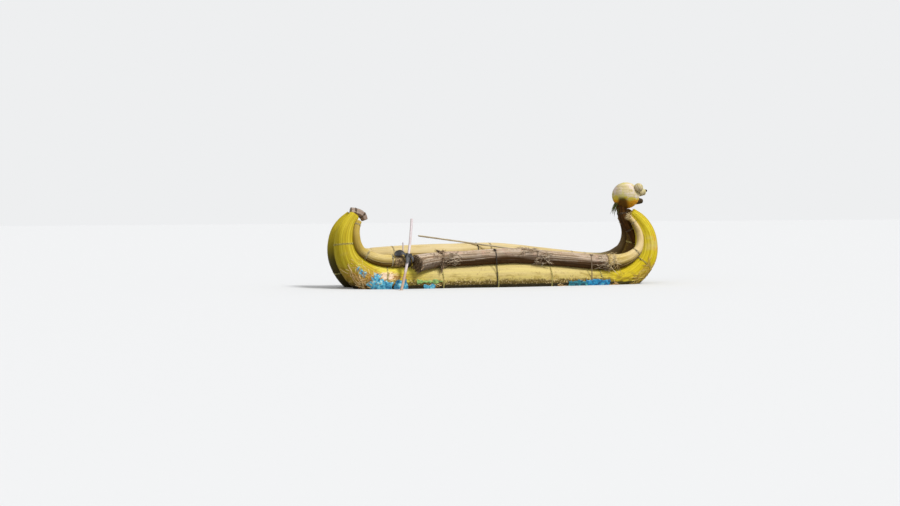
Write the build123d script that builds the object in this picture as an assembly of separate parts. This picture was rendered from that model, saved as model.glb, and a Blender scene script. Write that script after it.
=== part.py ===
from build123d import *
import math
import os

# A reed boat: two thick bundles of reeds side by side, swept up at both ends, with thinner
# gunwale bundles on top, a wound reed head at the bow and one oar in a loop near the stern.
# Millimetres. +X is forward, +Y is port, +Z is up. Z = 0 is the waterline, X = 0 amidships.

# Main bundles
HALF_LENGTH = 3680.0          # amidships to the outer face of either stem
STRETCH = HALF_LENGTH / 3680.0  # of every place along the boat, when its length changes
BUNDLE_GAP = 24.0             # between the two main bundles, filled by their bindings
PRESS = 7.0                   # how far a lashed bundle beds into the one that carries it
HULL_SECTIONS = 25

# Table of offsets. Each row is one place on a main bundle's axis, from the stern tip to the
# bow tip: end it is measured from (-1 stern, 0 amidships, 1 bow), distance inside that end's
# outer face or ahead of amidships, height, bundle radius, then the radius and the lean
# outboard in degrees of the starboard gunwale, and of the port one.
HULL = [
    (-1, 490.0, 1530.0, 105.0, 60.0, 44.0, 60.0, 44.0),
    (-1, 355.0, 1360.0, 150.0, 68.0, 42.0, 70.0, 42.0),
    (-1, 270.0, 1180.0, 190.0, 74.0, 41.0, 78.0, 40.0),
    (-1, 240.0, 950.0, 222.0, 80.0, 39.0, 90.0, 36.0),
    (-1, 290.0, 660.0, 262.0, 96.0, 34.0, 114.0, 29.0),
    (-1, 510.0, 360.0, 325.0, 116.0, 28.0, 144.0, 20.0),
    (-1, 840.0, 160.0, 375.0, 126.0, 22.0, 168.0, 13.0),
    (-1, 1390.0, 97.0, 396.0, 130.0, 20.0, 184.0, 10.0),
    (0, -1000.0, 97.0, 397.0, 150.0, 19.0, 205.0, 10.0),
    (0, 100.0, 120.0, 420.0, 168.0, 18.0, 188.0, 10.0),
    (0, 1200.0, 80.0, 380.0, 168.0, 19.0, 176.0, 13.0),
    (1, 1470.0, 38.0, 334.0, 168.0, 20.0, 168.0, 18.0),
    (1, 830.0, 124.0, 302.0, 154.0, 24.0, 154.0, 24.0),
    (1, 492.0, 338.0, 284.0, 126.0, 30.0, 126.0, 30.0),
    (1, 288.0, 622.0, 268.0, 96.0, 36.0, 96.0, 36.0),
    (1, 240.0, 900.0, 240.0, 76.0, 40.0, 76.0, 40.0),
    (1, 280.0, 1150.0, 210.0, 68.0, 42.0, 68.0, 42.0),
    (1, 410.0, 1380.0, 170.0, 62.0, 44.0, 62.0, 44.0),
    (1, 570.0, 1540.0, 125.0, 56.0, 45.0, 56.0, 45.0),
]

# Gunwales, by the distance of their ends from the stems' tips along the hull's axis
GUNWALE_TIP_INSET = 60.0       # at the stern
GUNWALE_BOW_INSET = 15.0
GUNWALE_GAP = 20.0            # between one bundle's end and the next one's
STERN_RAIL_END_X = -2110.0 * STRETCH
BOW_RAIL_START_X = 2380.0 * STRETCH
RAIL_SECTIONS = 19

# Repair bundles in place of the starboard gunwale:
# name, aft end, fore end, aft radius, fore radius, lean at the aft end and at the fore end
MIDDLE_REPAIR_END_X = 640.0 * STRETCH
REPAIRS = [
    ("repair_bundle_aft", STERN_RAIL_END_X + 4 * GUNWALE_GAP, -1510.0 * STRETCH,
     184.0, 152.0, 42.0, 24.0),
    ("repair_bundle_middle", -1450.0 * STRETCH, MIDDLE_REPAIR_END_X,
     156.0, 158.0, 20.0, 18.0),
    ("repair_bundle_fore", MIDDLE_REPAIR_END_X + GUNWALE_GAP, BOW_RAIL_START_X - GUNWALE_GAP,
     156.0, 158.0, 18.0, 20.0),
]

# Core bundle in the groove between the main bundles
CORE_RADIUS = 92.0
CORE_START = 420.0            # from the stern tip along the axis
CORE_END_X = 2900.0 * STRETCH
CORE_SECTIONS = 8

# Floor mat and seats
MAT_AFT_X = -2350.0 * STRETCH
MAT_FORE_X = 2500.0 * STRETCH
MAT_THICKNESS = 60.0
MAT_EDGE_CLEARANCE = 12.0
MAT_SECTIONS = 13
SEAT_RADIUS = 95.0
SEAT_END_CLEARANCE = 15.0
SEATS = [("seat_bundle_aft", -1150.0 * STRETCH), ("seat_bundle_middle", 350.0 * STRETCH),
         ("seat_bundle_fore", 1550.0 * STRETCH)]

# Bindings
BAND_WIDTH = 34.0
BAND_HEIGHT = 9.0
BAND_BITE = 3.0
HULL_BAND_COUNT = 7
HULL_BAND_END = 330.0         # from either tip to the last band
RAIL_BAND_COUNT = 5
GIRTH_ROPE_XS = (-260.0 * STRETCH, 1960.0 * STRETCH)
GIRTH_ROPE_WIDTH = 26.0

# Bow figurehead
NECK_RADIUS = 108.0
NECK_FOOT_HEIGHT = 900.0
NECK_TOP_AFT = 105.0           # of the head's middle
HEAD_X = 3055.0 * STRETCH
HEAD_Z = 1925.0
HEAD_RADIUS = 304.0
HEAD_HALF_HEIGHT = 290.0
HEAD_SIDE_ARC = 240.0         # radius of the ball's flank, under its half height
EAR_RADIUS = 102.0
EAR_SPREAD = 49.0             # degrees to either side of straight ahead
EAR_LIFT = 29.0               # degrees above level
MUZZLE_RADIUS = 105.0
MUZZLE_TIP_RADIUS = 72.0
MUZZLE_LENGTH = 175.0
JAW_RADIUS = 78.0
JAW_LENGTH = 130.0
EYE_RADIUS = 44.0
NOSE_RADIUS = 30.0

# Stern tip bundle
STERN_CAP_RADIUS = 82.0
STERN_CAP_OVERHANG = 92.0      # of its aft end, towards the outer face of the tips
STERN_CAP_BED = 48.0           # how deep its aft edge beds into the tips
STERN_CAP_REACH = 305.0
STERN_CAP_DROP = 190.0

# Oar and its loop
OAR_X = -2200.0 * STRETCH               # along the boat, at the loop
OAR_RADIUS = 25.0
OAR_OUT_LEAN = 35.0           # degrees
OAR_UPPER_LEAN = 14.0         # degrees aft, at rest: the shaft is a bent natural pole
OAR_LOWER_LEAN = 21.0
OAR_BEND = 260.0              # to either side of the pivot
OAR_UP_LENGTH = 930.0
OAR_DOWN_LENGTH = 1130.0
BLADE_LENGTH = 245.0
BLADE_WIDTH = 150.0
BLADE_THICKNESS = 22.0
BLADE_CORNER = 45.0
BLADE_SEAT = 2.0              # depth of the flat that the blade beds into
BLADE_END = 10.0              # from the blade's foot to the shaft's
LOOP_WIDTH = 18.0
LOOP_HEIGHT = 16.0
LOOP_PLAY = 28.0              # fore and aft, to either side of the shaft
OAR_FIT = 0.3                 # from the shaft to the sides of its loop
LOOP_BITE = 4.0
OAR_BAND_WIDTH = 130.0
OAR_BAND_HEIGHT = 12.0

# Peg in the starboard gunwale, that stops the oar
PEG_AFT = 60.0                # of the oar's loop
PEG_RADIUS = 15.0
PEG_SINK = 120.0              # its foot, below the top of the gunwale
PEG_RISE = 250.0

# Loose pole
POLE_RADIUS = 19.0
POLE_LENGTH = 2150.0
POLE_SEAT_Y = 50.0            # where it lies on the middle seat
POLE_LAP = 120.0              # past the middle of that seat
POLE_REST_X = -450.0 * STRETCH  # where it crosses the port gunwale
POLE_BITE = 2.0

# Blue liner that shows at the waterline:
# name, aft end, fore end, lowest and highest angle round the bundle in degrees, 0 is outboard
LINERS = [
    ("hull_liner_stern", -3050.0 * STRETCH, -2400.0 * STRETCH, -30.0, 6.0),
    ("hull_liner_middle", -2000.0 * STRETCH, -1500.0 * STRETCH, -24.0, 2.0),
    ("hull_liner_bow", 1140.0 * STRETCH, 2390.0 * STRETCH, -24.0, 4.0),
]
LINER_THICKNESS = 5.0


def chords(points):
    """Distance along the axis of each of its points."""
    total = 0.0
    result = [0.0]
    for (x0, z0), (x1, z1) in zip(points, points[1:]):
        total += math.hypot(x1 - x0, z1 - z0)
        result.append(total)
    return result


def slope(keys, values, i):
    """Slope of the curve through the values at key i."""
    if i == 0:
        return (values[1] - values[0]) / (keys[1] - keys[0])
    if i == len(keys) - 1:
        return (values[-1] - values[-2]) / (keys[-1] - keys[-2])
    before = keys[i] - keys[i - 1]
    after = keys[i + 1] - keys[i]
    left = (values[i] - values[i - 1]) / before
    right = (values[i + 1] - values[i]) / after
    if left * right <= 0:
        return 0.0
    return (left * after + right * before) / (before + after)


def smooth(keys, values, s):
    """Value at s of a smooth curve through the values at the keys."""
    i = max(j for j in range(len(keys) - 1) if keys[j] <= max(s, keys[0]))
    width = keys[i + 1] - keys[i]
    t = (s - keys[i]) / width
    start = slope(keys, values, i) * width
    end = slope(keys, values, i + 1) * width
    rise = values[i + 1] - values[i]
    return (values[i] + t * start
            + t * t * (3 * rise - 2 * start - end)
            + t * t * t * (start + end - 2 * rise))


def hull_x(row):
    """X of one row of HULL."""
    side, offset = row[0], row[1] * STRETCH
    return side * (HALF_LENGTH - offset) if side else offset


AXIS_POINTS = [(hull_x(row), row[2]) for row in HULL]
AXIS_KEYS = chords(AXIS_POINTS)
AXIS_LENGTH = AXIS_KEYS[-1]
STEP = 5.0                    # for slopes along the axis


def column(i, s):
    return smooth(AXIS_KEYS, [row[i] for row in HULL], s)


def axis_x(s):
    return smooth(AXIS_KEYS, [point[0] for point in AXIS_POINTS], s)


def axis_z(s):
    return smooth(AXIS_KEYS, [point[1] for point in AXIS_POINTS], s)


def hull_radius(s):
    return column(3, s)


def hull_y(s):
    """Half the distance between the two main bundles' axes."""
    return hull_radius(s) + BUNDLE_GAP / 2


def heading(s):
    """Unit direction of the axis in the XZ plane."""
    low = max(0.0, s - STEP)
    high = min(AXIS_LENGTH, s + STEP)
    return Vector(axis_x(high) - axis_x(low), 0, axis_z(high) - axis_z(low)).normalized()


def inward(s):
    """Unit direction from the axis towards the hollow side of the hull: up, amidships."""
    along = heading(s)
    return Vector(-along.Z, 0, along.X)


def hull_centre(s, side):
    return Vector(axis_x(s), side * hull_y(s), axis_z(s))


def spread(start, end, count):
    """Evenly spaced values from start to end."""
    return [start + (end - start) * i / (count - 1) for i in range(count)]


def at_x(x):
    """Distance along the axis where the hull's flat part passes x."""
    low = AXIS_KEYS[5]
    high = AXIS_KEYS[13]
    for _ in range(40):
        middle = (low + high) / 2
        if axis_x(middle) < x:
            low = middle
        else:
            high = middle
    return low


def on_hull(s, side, radius, lean, press=PRESS):
    """Centre of a round bundle that lies on a main bundle, leaning outboard by lean degrees."""
    reach = hull_radius(s) + radius - press
    turn = math.radians(lean)
    return (hull_centre(s, side) + inward(s) * (reach * math.cos(turn))
            + Vector(0, side * reach * math.sin(turn), 0))


def in_groove(s, radius):
    """Centre of a round bundle that lies in the groove between the main bundles."""
    reach = hull_radius(s) + radius - PRESS
    rise = math.sqrt(reach ** 2 - hull_y(s) ** 2)
    return Vector(axis_x(s), 0, axis_z(s)) + inward(s) * rise


def bundle(rings):
    """Solid through rings of (centre, direction, radius)."""
    wires = []
    for centre, direction, radius in rings:
        plane = Plane(origin=centre, x_dir=(0, 1, 0), z_dir=direction)
        wires.append((plane * Circle(radius)).wire())
    return Solid.make_loft(wires)


def tube(points, radii):
    """Bundle through points, each ring square to the line through its neighbours."""
    rings = []
    for i, point in enumerate(points):
        ahead = points[min(i + 1, len(points) - 1)]
        behind = points[max(i - 1, 0)]
        rings.append((point, (ahead - behind).normalized(), radii[i]))
    return bundle(rings)


def hull_bundle(side):
    return bundle([(hull_centre(s, side), heading(s), hull_radius(s))
                   for s in spread(0, AXIS_LENGTH, HULL_SECTIONS)])


def rail_radius(s, side):
    return column(4 if side < 0 else 6, s)


def rail_lean(s, side):
    return column(5 if side < 0 else 7, s)


def rail_centre(s, side):
    return on_hull(s, side, rail_radius(s, side), rail_lean(s, side))


def gunwale(start, end, side, sections):
    places = spread(start, end, sections)
    return tube([rail_centre(s, side) for s in places], [rail_radius(s, side) for s in places])


def repair_centre(s, start, end, row):
    """Centre and radius of a repair bundle at s."""
    share = (s - start) / (end - start)
    radius = row[3] + (row[4] - row[3]) * share
    lean = row[5] + (row[6] - row[5]) * share
    return on_hull(s, -1, radius, lean), radius


def repair_bundle(row):
    start = at_x(row[1])
    end = at_x(row[2])
    places = [repair_centre(s, start, end, row) for s in spread(start, end, 5)]
    return tube([place[0] for place in places], [place[1] for place in places])


def core_bundle():
    places = spread(CORE_START, at_x(CORE_END_X), CORE_SECTIONS)
    return tube([in_groove(s, CORE_RADIUS) for s in places], [CORE_RADIUS] * len(places))


def mat_top(s):
    return axis_z(s) + hull_radius(s) + MAT_THICKNESS - PRESS


def rail_inner(s, side, height=None):
    """Distance from the centreline to the gunwale's inner face, at a height or at its widest."""
    centre = rail_centre(s, side)
    drop = 0 if height is None else centre.Z - height
    return abs(centre.Y) - math.sqrt(rail_radius(s, side) ** 2 - drop ** 2)


def floor_mat():
    faces = []
    for s in spread(at_x(MAT_AFT_X), at_x(MAT_FORE_X), MAT_SECTIONS):
        top = mat_top(s)
        low = top - MAT_THICKNESS
        left = rail_inner(s, 1, top) - MAT_EDGE_CLEARANCE
        right = MAT_EDGE_CLEARANCE - rail_inner(s, -1, top)
        corners = [(axis_x(s), right, low), (axis_x(s), left, low),
                   (axis_x(s), left, top), (axis_x(s), right, top)]
        faces.append(Wire.make_polygon(corners))
    return Solid.make_loft(faces, ruled=True)


def seat_bundle(x):
    s = at_x(x)
    left = rail_inner(s, 1) - SEAT_END_CLEARANCE
    right = SEAT_END_CLEARANCE - rail_inner(s, -1)
    plane = Plane(origin=(axis_x(s), right, mat_top(s) + SEAT_RADIUS - PRESS),
                  x_dir=(1, 0, 0), z_dir=(0, 1, 0))
    return plane * extrude(Circle(SEAT_RADIUS), left - right)


def band(centre, direction, radius, width=BAND_WIDTH, height=BAND_HEIGHT):
    """Flat binding round a bundle, sunk a little into it."""
    plane = Plane(origin=centre, x_dir=(0, 1, 0), z_dir=direction)
    outer = Circle(radius + height - BAND_BITE)
    inner = Circle(radius - BAND_BITE)
    return plane * Pos(0, 0, -width / 2) * extrude(outer - inner, width)


def hull_bands(side):
    """Bindings of one main bundle, half a spacing out of step with the other's."""
    gap = (AXIS_LENGTH - 2 * HULL_BAND_END) / HULL_BAND_COUNT
    shift = gap * (0.3 if side < 0 else 0.7)
    bands = []
    for i in range(HULL_BAND_COUNT):
        s = HULL_BAND_END + shift + gap * i
        sink = inward(s) * (BAND_HEIGHT - BAND_BITE)
        bands.append(band(hull_centre(s, side) + sink, heading(s), hull_radius(s)))
    return Compound(bands)


def rail_bands(places, side):
    bands = []
    for s in places:
        ahead = rail_centre(s + STEP, side) - rail_centre(s - STEP, side)
        bands.append(band(rail_centre(s, side), ahead.normalized(), rail_radius(s, side)))
    return Compound(bands)


def girth_rope(x, side, radius, lean):
    """Rope drawn round a main bundle and the bundle on top of it, flush with the bottom."""
    s = at_x(x)
    low = hull_centre(s, side)
    high = on_hull(s, side, radius, lean)
    grip = BAND_HEIGHT - BAND_BITE
    big = Pos(low.Y, low.Z + grip) * Circle(hull_radius(s) + grip)
    small = Pos(high.Y, high.Z) * Circle(radius + grip)
    outline = make_hull((big + small).edges())
    inside = offset(outline, -BAND_HEIGHT)
    plane = Plane(origin=(axis_x(s) - GIRTH_ROPE_WIDTH / 2, 0, 0), x_dir=(0, 1, 0), z_dir=(1, 0, 0))
    return plane * extrude(outline - inside, GIRTH_ROPE_WIDTH)


def neck_bundle():
    foot = max(s for s in spread(0, AXIS_LENGTH, 400) if axis_z(s) < NECK_FOOT_HEIGHT)
    nape = max(s for s in spread(0, AXIS_LENGTH, 400) if axis_z(s) < HULL[-2][2])
    low = in_groove(foot, NECK_RADIUS * 0.6)
    middle = in_groove((foot + nape) / 2, NECK_RADIUS * 0.85)
    high = in_groove(nape, NECK_RADIUS)
    top = Vector(HEAD_X - NECK_TOP_AFT, 0, HEAD_Z - HEAD_HALF_HEIGHT + 70)
    bend = Vector((high.X + top.X) / 2 - 40, 0, (high.Z + top.Z) / 2)
    points = [low, middle, high, bend, top]
    radii = [NECK_RADIUS * k for k in (0.6, 0.85, 1.0, 1.0, 0.95)]
    return tube(points, radii)


def head_ball():
    """Wound ball, as an oval of four arcs turned about the upright."""
    crown = ((HEAD_RADIUS ** 2 + HEAD_HALF_HEIGHT ** 2 - 2 * HEAD_RADIUS * HEAD_SIDE_ARC)
             / (2 * (HEAD_HALF_HEIGHT - HEAD_SIDE_ARC)))
    middle = Vector(HEAD_RADIUS - HEAD_SIDE_ARC, 0)
    low = Vector(0, HEAD_HALF_HEIGHT - crown)
    toward = (middle - low).normalized()
    joint = low + toward * crown
    half = math.atan2(toward.X, toward.Y) / 2
    shoulder = low + Vector(math.sin(half), math.cos(half)) * crown
    top = Vector(0, HEAD_HALF_HEIGHT)
    side = Vector(HEAD_RADIUS, 0)
    under = [Vector(point.X, -point.Y) for point in (joint, shoulder, top)]
    outline = [ThreePointArc(top, shoulder, joint), ThreePointArc(joint, side, under[0]),
               ThreePointArc(under[0], under[1], under[2]), Line(under[2], top)]
    ball = revolve(Plane.XZ * make_face(outline), Axis.Z)
    return Pos(HEAD_X, 0, HEAD_Z) * ball


def on_head(turn, lift, out=0.0):
    """Point on the head's surface, moved out along its direction from the centre."""
    a = math.radians(turn)
    b = math.radians(lift)
    direction = Vector(math.cos(b) * math.cos(a), math.cos(b) * math.sin(a), math.sin(b))
    flat = math.hypot(direction.X, direction.Y) / HEAD_RADIUS
    reach = 1 / math.hypot(flat, direction.Z / HEAD_HALF_HEIGHT)
    return Vector(HEAD_X, 0, HEAD_Z) + direction * (reach + out), direction


def ear(side):
    place, _ = on_head(side * EAR_SPREAD, EAR_LIFT, EAR_RADIUS * 0.5)
    return Pos(*place) * Sphere(EAR_RADIUS)


def eye(side):
    place, direction = on_head(side * 24, 12)
    plane = Plane(origin=place - direction * 20, z_dir=direction)
    return plane * extrude(Circle(EYE_RADIUS), 34)


def snout(lift, radius, tip_radius, length):
    place, _ = on_head(0, lift)
    root = place - Vector(radius * 0.8, 0, 0)
    tip = place + Vector(length, 0, 0)
    return tube([root, (root + tip) / 2, tip], [radius, radius * 0.96, tip_radius])


def nose():
    place, _ = on_head(0, 14)
    return Pos(place.X + MUZZLE_LENGTH + NOSE_RADIUS * 0.5, 0, place.Z + 30) * Sphere(NOSE_RADIUS)


def stern_cap():
    """Short bundle laid over the ends of the stern tips, bent forward and down."""
    out = -heading(0)
    seat = (Vector(axis_x(0), 0, axis_z(0)) - inward(0) * STERN_CAP_OVERHANG
            + out * (STERN_CAP_RADIUS - STERN_CAP_BED))
    points = [seat + Vector(reach * STERN_CAP_REACH, 0, -drop * STERN_CAP_DROP)
              for reach, drop in ((0, 0), (0.28, 0.06), (0.62, 0.22), (0.88, 0.54), (1.0, 1.0))]
    return tube(points, [STERN_CAP_RADIUS] * 4 + [STERN_CAP_RADIUS * 0.85])


# Oar: the pivot is up and outboard of the starboard gunwale, clear of its black binding
OAR_S = at_x(OAR_X)
RAIL_AT_OAR = rail_centre(OAR_S, -1)
OUT_LEAN = math.radians(OAR_OUT_LEAN)
OAR_AXIS = Vector(0, -math.cos(OUT_LEAN), math.sin(OUT_LEAN))
DOWN = Vector(0, -math.sin(OUT_LEAN), -math.cos(OUT_LEAN))
AFT = Vector(-1, 0, 0)
LOOP_RADIUS = OAR_RADIUS + OAR_FIT
BINDING_RADIUS = rail_radius(OAR_S, -1) + OAR_BAND_HEIGHT - BAND_BITE
PIVOT = RAIL_AT_OAR + OAR_AXIS * (BINDING_RADIUS + LOOP_RADIUS + LOOP_HEIGHT - LOOP_BITE)


def shaft_aft(down):
    """How far aft of the pivot the shaft's axis is, by the distance down from the pivot."""
    upper = math.tan(math.radians(OAR_UPPER_LEAN))
    lower = math.tan(math.radians(OAR_LOWER_LEAN))
    turn = (lower - upper) / 2
    bent = math.hypot(down, OAR_BEND) - OAR_BEND
    return (upper + lower) / 2 * down + turn * bent


def on_shaft(down):
    return PIVOT + DOWN * down + AFT * shaft_aft(down)


def oar_shaft():
    places = [-OAR_UP_LENGTH, -OAR_BEND, 0, OAR_BEND, OAR_DOWN_LENGTH]
    return tube([on_shaft(down) for down in places], [OAR_RADIUS] * len(places))


def oar_blade():
    """Board bedded into the outboard side of the shaft's foot."""
    start = on_shaft(OAR_DOWN_LENGTH - BLADE_END - BLADE_LENGTH)
    along = (on_shaft(OAR_DOWN_LENGTH) - start).normalized()
    plane = Plane(origin=start + OAR_AXIS * (OAR_RADIUS - BLADE_SEAT), x_dir=along, z_dir=OAR_AXIS)
    board = RectangleRounded(BLADE_LENGTH, BLADE_WIDTH, BLADE_CORNER)
    return plane * Pos(BLADE_LENGTH / 2, 0) * extrude(board, BLADE_THICKNESS)


def oar_loop():
    """Long loop round the shaft, square to the middle of its sweep."""
    plane = Plane(origin=PIVOT, x_dir=AFT, z_dir=DOWN)
    inner = SlotCenterToCenter(2 * LOOP_PLAY, 2 * LOOP_RADIUS)
    outer = SlotCenterToCenter(2 * LOOP_PLAY, 2 * (LOOP_RADIUS + LOOP_HEIGHT))
    return plane * Pos(0, 0, -LOOP_WIDTH / 2) * extrude(outer - inner, LOOP_WIDTH)


def oar_binding():
    ahead = rail_centre(OAR_S + STEP, -1) - rail_centre(OAR_S - STEP, -1)
    return band(RAIL_AT_OAR, ahead.normalized(), rail_radius(OAR_S, -1), OAR_BAND_WIDTH, OAR_BAND_HEIGHT)


def peg():
    """Upright stick driven into the top of the gunwale's inboard half."""
    s = at_x(OAR_X - PEG_AFT)
    rail = rail_centre(s, -1)
    radius = rail_radius(s, -1)
    foot = Vector(rail.X, rail.Y + radius * 0.35, rail.Z + radius - PEG_SINK)
    return Pos(*foot) * extrude(Circle(PEG_RADIUS), PEG_SINK + PEG_RISE)


def pole():
    """Loose pole laid on the middle seat and on the port gunwale, out over the side."""
    seat = at_x(SEATS[1][1])
    foot = Vector(axis_x(seat), POLE_SEAT_Y, mat_top(seat) + 2 * SEAT_RADIUS - PRESS + POLE_RADIUS)
    rail = at_x(POLE_REST_X)
    centre = rail_centre(rail, 1)
    reach = rail_radius(rail, 1) + POLE_RADIUS - POLE_BITE
    across = math.hypot(centre.Y - foot.Y, centre.Z - foot.Z)
    climb = math.atan2(centre.Z - foot.Z, centre.Y - foot.Y) + math.asin(reach / across)
    run = math.sqrt(across ** 2 - reach ** 2)
    rest = Vector(axis_x(rail), foot.Y + run * math.cos(climb), foot.Z + run * math.sin(climb))
    along = (rest - foot).normalized()
    return Plane(origin=foot - along * POLE_LAP, z_dir=along) * extrude(Circle(POLE_RADIUS), POLE_LENGTH)


def hull_liner(aft, fore, low, high):
    """Curved plate on the starboard bundle's side."""
    wires = []
    for s in spread(at_x(aft), at_x(fore), 3):
        centre = hull_centre(s, -1)
        radius = hull_radius(s)
        points = []
        for reach, angle in ((-1, low), (-1, (low + high) / 2), (-1, high),
                             (LINER_THICKNESS, high), (LINER_THICKNESS, (low + high) / 2),
                             (LINER_THICKNESS, low)):
            turn = math.radians(angle)
            points.append(Vector(centre.X, centre.Y - (radius + reach) * math.cos(turn),
                                 centre.Z + (radius + reach) * math.sin(turn)))
        inner = ThreePointArc(points[0], points[1], points[2])
        outer = ThreePointArc(points[3], points[4], points[5])
        wires.append(Wire([inner, Line(points[2], points[3]), outer, Line(points[5], points[0])]))
    return Solid.make_loft(wires)


def build():
    parts = {
        "hull_bundle_starboard": hull_bundle(-1),
        "hull_bundle_port": hull_bundle(1),
        "core_bundle": core_bundle(),
        "floor_mat": floor_mat(),
        "gunwale_port": gunwale(GUNWALE_TIP_INSET, AXIS_LENGTH - GUNWALE_BOW_INSET, 1, RAIL_SECTIONS),
        "gunwale_starboard_stern": gunwale(GUNWALE_TIP_INSET, at_x(STERN_RAIL_END_X), -1, 11),
        "gunwale_starboard_bow": gunwale(at_x(BOW_RAIL_START_X), AXIS_LENGTH - GUNWALE_BOW_INSET, -1, 11),
        "neck_bundle": neck_bundle(),
        "head_ball": head_ball(),
        "muzzle": snout(14, MUZZLE_RADIUS, MUZZLE_TIP_RADIUS, MUZZLE_LENGTH),
        "jaw": snout(-24, JAW_RADIUS, JAW_RADIUS * 0.7, JAW_LENGTH),
        "nose": nose(),
        "stern_tip_bundle": stern_cap(),
        "hull_bands_starboard": hull_bands(-1),
        "hull_bands_port": hull_bands(1),
        "oar_binding": oar_binding(),
        "oar_loop": oar_loop(),
        "oar_shaft": oar_shaft(),
        "oar_blade": oar_blade(),
        "peg": peg(),
        "pole": pole(),
    }
    for name, x in SEATS:
        parts[name] = seat_bundle(x)
    for row in REPAIRS:
        parts[row[0]] = repair_bundle(row)
    for side, word in ((-1, "starboard"), (1, "port")):
        parts["ear_" + word] = ear(side)
        parts["eye_" + word] = eye(side)
    inner_tips = (GUNWALE_TIP_INSET + 90, AXIS_LENGTH - GUNWALE_TIP_INSET - 90)
    parts["gunwale_bands_port"] = rail_bands(spread(*inner_tips, RAIL_BAND_COUNT), 1)
    stern_places = spread(inner_tips[0], at_x(STERN_RAIL_END_X) - 330, 3)
    bow_places = spread(at_x(BOW_RAIL_START_X) + 150, inner_tips[1], 3)
    parts["gunwale_bands_starboard"] = rail_bands(stern_places + bow_places, -1)
    for word, x in zip(("middle", "fore"), GIRTH_ROPE_XS):
        s = at_x(x)
        row = REPAIRS[1] if word == "middle" else REPAIRS[2]
        share = (s - at_x(row[1])) / (at_x(row[2]) - at_x(row[1]))
        radius = row[3] + (row[4] - row[3]) * share
        lean = row[5] + (row[6] - row[5]) * share
        parts["girth_rope_" + word] = girth_rope(x, -1, radius, lean)
        parts["girth_rope_port_" + word] = girth_rope(x, 1, rail_radius(s, 1), rail_lean(s, 1))
    for name, aft, fore, low, high in LINERS:
        parts[name] = hull_liner(aft, fore, low, high)
    return parts


os.makedirs("parts", exist_ok=True)
for node, shape in build().items():
    export_step(shape, "parts/" + node + ".step")
print("oar pivot", PIVOT, "axis", OAR_AXIS, "foot", on_shaft(OAR_DOWN_LENGTH))
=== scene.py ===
# %% [markdown]
# A reed boat is two thick bundles of totora reed that lie side by side, sweep up at both ends, and
# carry thinner bundles along their top edges as gunwales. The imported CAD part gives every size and
# place. This lesson dresses it: each bundle is rebuilt as separate reeds, then come the lashings, the
# worn and frayed places, the wound head and the oar.

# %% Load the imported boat
import math

import bmesh
import bpy
import numpy as np
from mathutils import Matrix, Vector, noise


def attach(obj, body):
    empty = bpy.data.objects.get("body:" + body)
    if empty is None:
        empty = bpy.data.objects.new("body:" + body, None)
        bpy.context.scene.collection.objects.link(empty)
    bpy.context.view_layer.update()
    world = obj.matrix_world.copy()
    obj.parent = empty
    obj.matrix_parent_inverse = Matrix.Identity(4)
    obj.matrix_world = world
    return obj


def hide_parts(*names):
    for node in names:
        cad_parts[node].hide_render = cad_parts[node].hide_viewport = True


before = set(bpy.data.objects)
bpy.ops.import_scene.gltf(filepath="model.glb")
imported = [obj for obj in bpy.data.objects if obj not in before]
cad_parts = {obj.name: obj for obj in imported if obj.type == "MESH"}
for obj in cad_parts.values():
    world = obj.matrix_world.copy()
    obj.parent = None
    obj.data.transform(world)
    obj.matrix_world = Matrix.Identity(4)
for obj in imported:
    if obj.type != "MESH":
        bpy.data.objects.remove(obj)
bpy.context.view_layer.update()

# %% [markdown]
# The camera stands about forty metres away, a little astern of amidships, with its eye 2.3 m above
# the waterline. A long lens from far away keeps the two ends of the boat nearly the same size, which
# a close camera could not do.

# %% Camera
FRAME_WIDTH = 900
FOCAL_PIXELS = 2000.0
SENSOR_WIDTH = 36.0
CAMERA_PLACE = (-14.933, -40.367, 2.265)
CAMERA_YAW = 19.0
CAMERA_DIP = 2.09


def add_object(name, data):
    """Puts a mesh, a lamp or a camera into the scene."""
    made = bpy.data.objects.new(name, data)
    bpy.context.scene.collection.objects.link(made)
    return made


camera = add_object("camera", bpy.data.cameras.new("camera"))
camera.data.sensor_width = SENSOR_WIDTH
camera.data.lens = FOCAL_PIXELS / FRAME_WIDTH * SENSOR_WIDTH
camera.location = CAMERA_PLACE
camera.rotation_euler = (math.radians(90 - CAMERA_DIP), 0, math.radians(-CAMERA_YAW))
bpy.context.scene.camera = camera
print("lens", round(camera.data.lens, 1), "mm")

# %% [markdown]
# Nodes are placed by a few short functions. A value that comes from another node is linked and a
# plain one is set, and the tree is found from the sockets, so that a sum reads almost like a sum.

# %% Helpers for nodes and colours
def srgb(red, green, blue):
    """Linear colour from 0 to 255 display values."""
    share = np.array((red, green, blue)) / 255
    linear = np.where(share <= 0.04045, share / 12.92, ((share + 0.055) / 1.055) ** 2.4)
    return (*linear.tolist(), 1.0)


def is_socket(value):
    return isinstance(value, bpy.types.NodeSocket)


def feed(socket, value):
    """Links another node's output to a socket, or sets a plain value."""
    if is_socket(value):
        socket.id_data.links.new(value, socket)
    else:
        socket.default_value = value


def node(tree, kind, values=None, **settings):
    """Adds a node, sets its properties and feeds its inputs."""
    made = tree.nodes.new(kind)
    for name, value in settings.items():
        setattr(made, name, value)
    for key, value in (values or {}).items():
        feed(made.inputs[key], value)
    return made


def tree_of(*values):
    """Node tree of the first socket among some values."""
    return next(value.id_data for value in values if is_socket(value))


def maths(operation, *values):
    return node(tree_of(*values), "ShaderNodeMath", dict(enumerate(values)), operation=operation).outputs[0]


def times(first, *others):
    """Product of all its values."""
    for other in others:
        first = maths("MULTIPLY", first, other)
    return first


def mixed(factor, first, second):
    """Colour between two others."""
    values = {0: factor, 6: first, 7: second}
    return node(factor.id_data, "ShaderNodeMix", values, data_type="RGBA").outputs[2]


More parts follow.
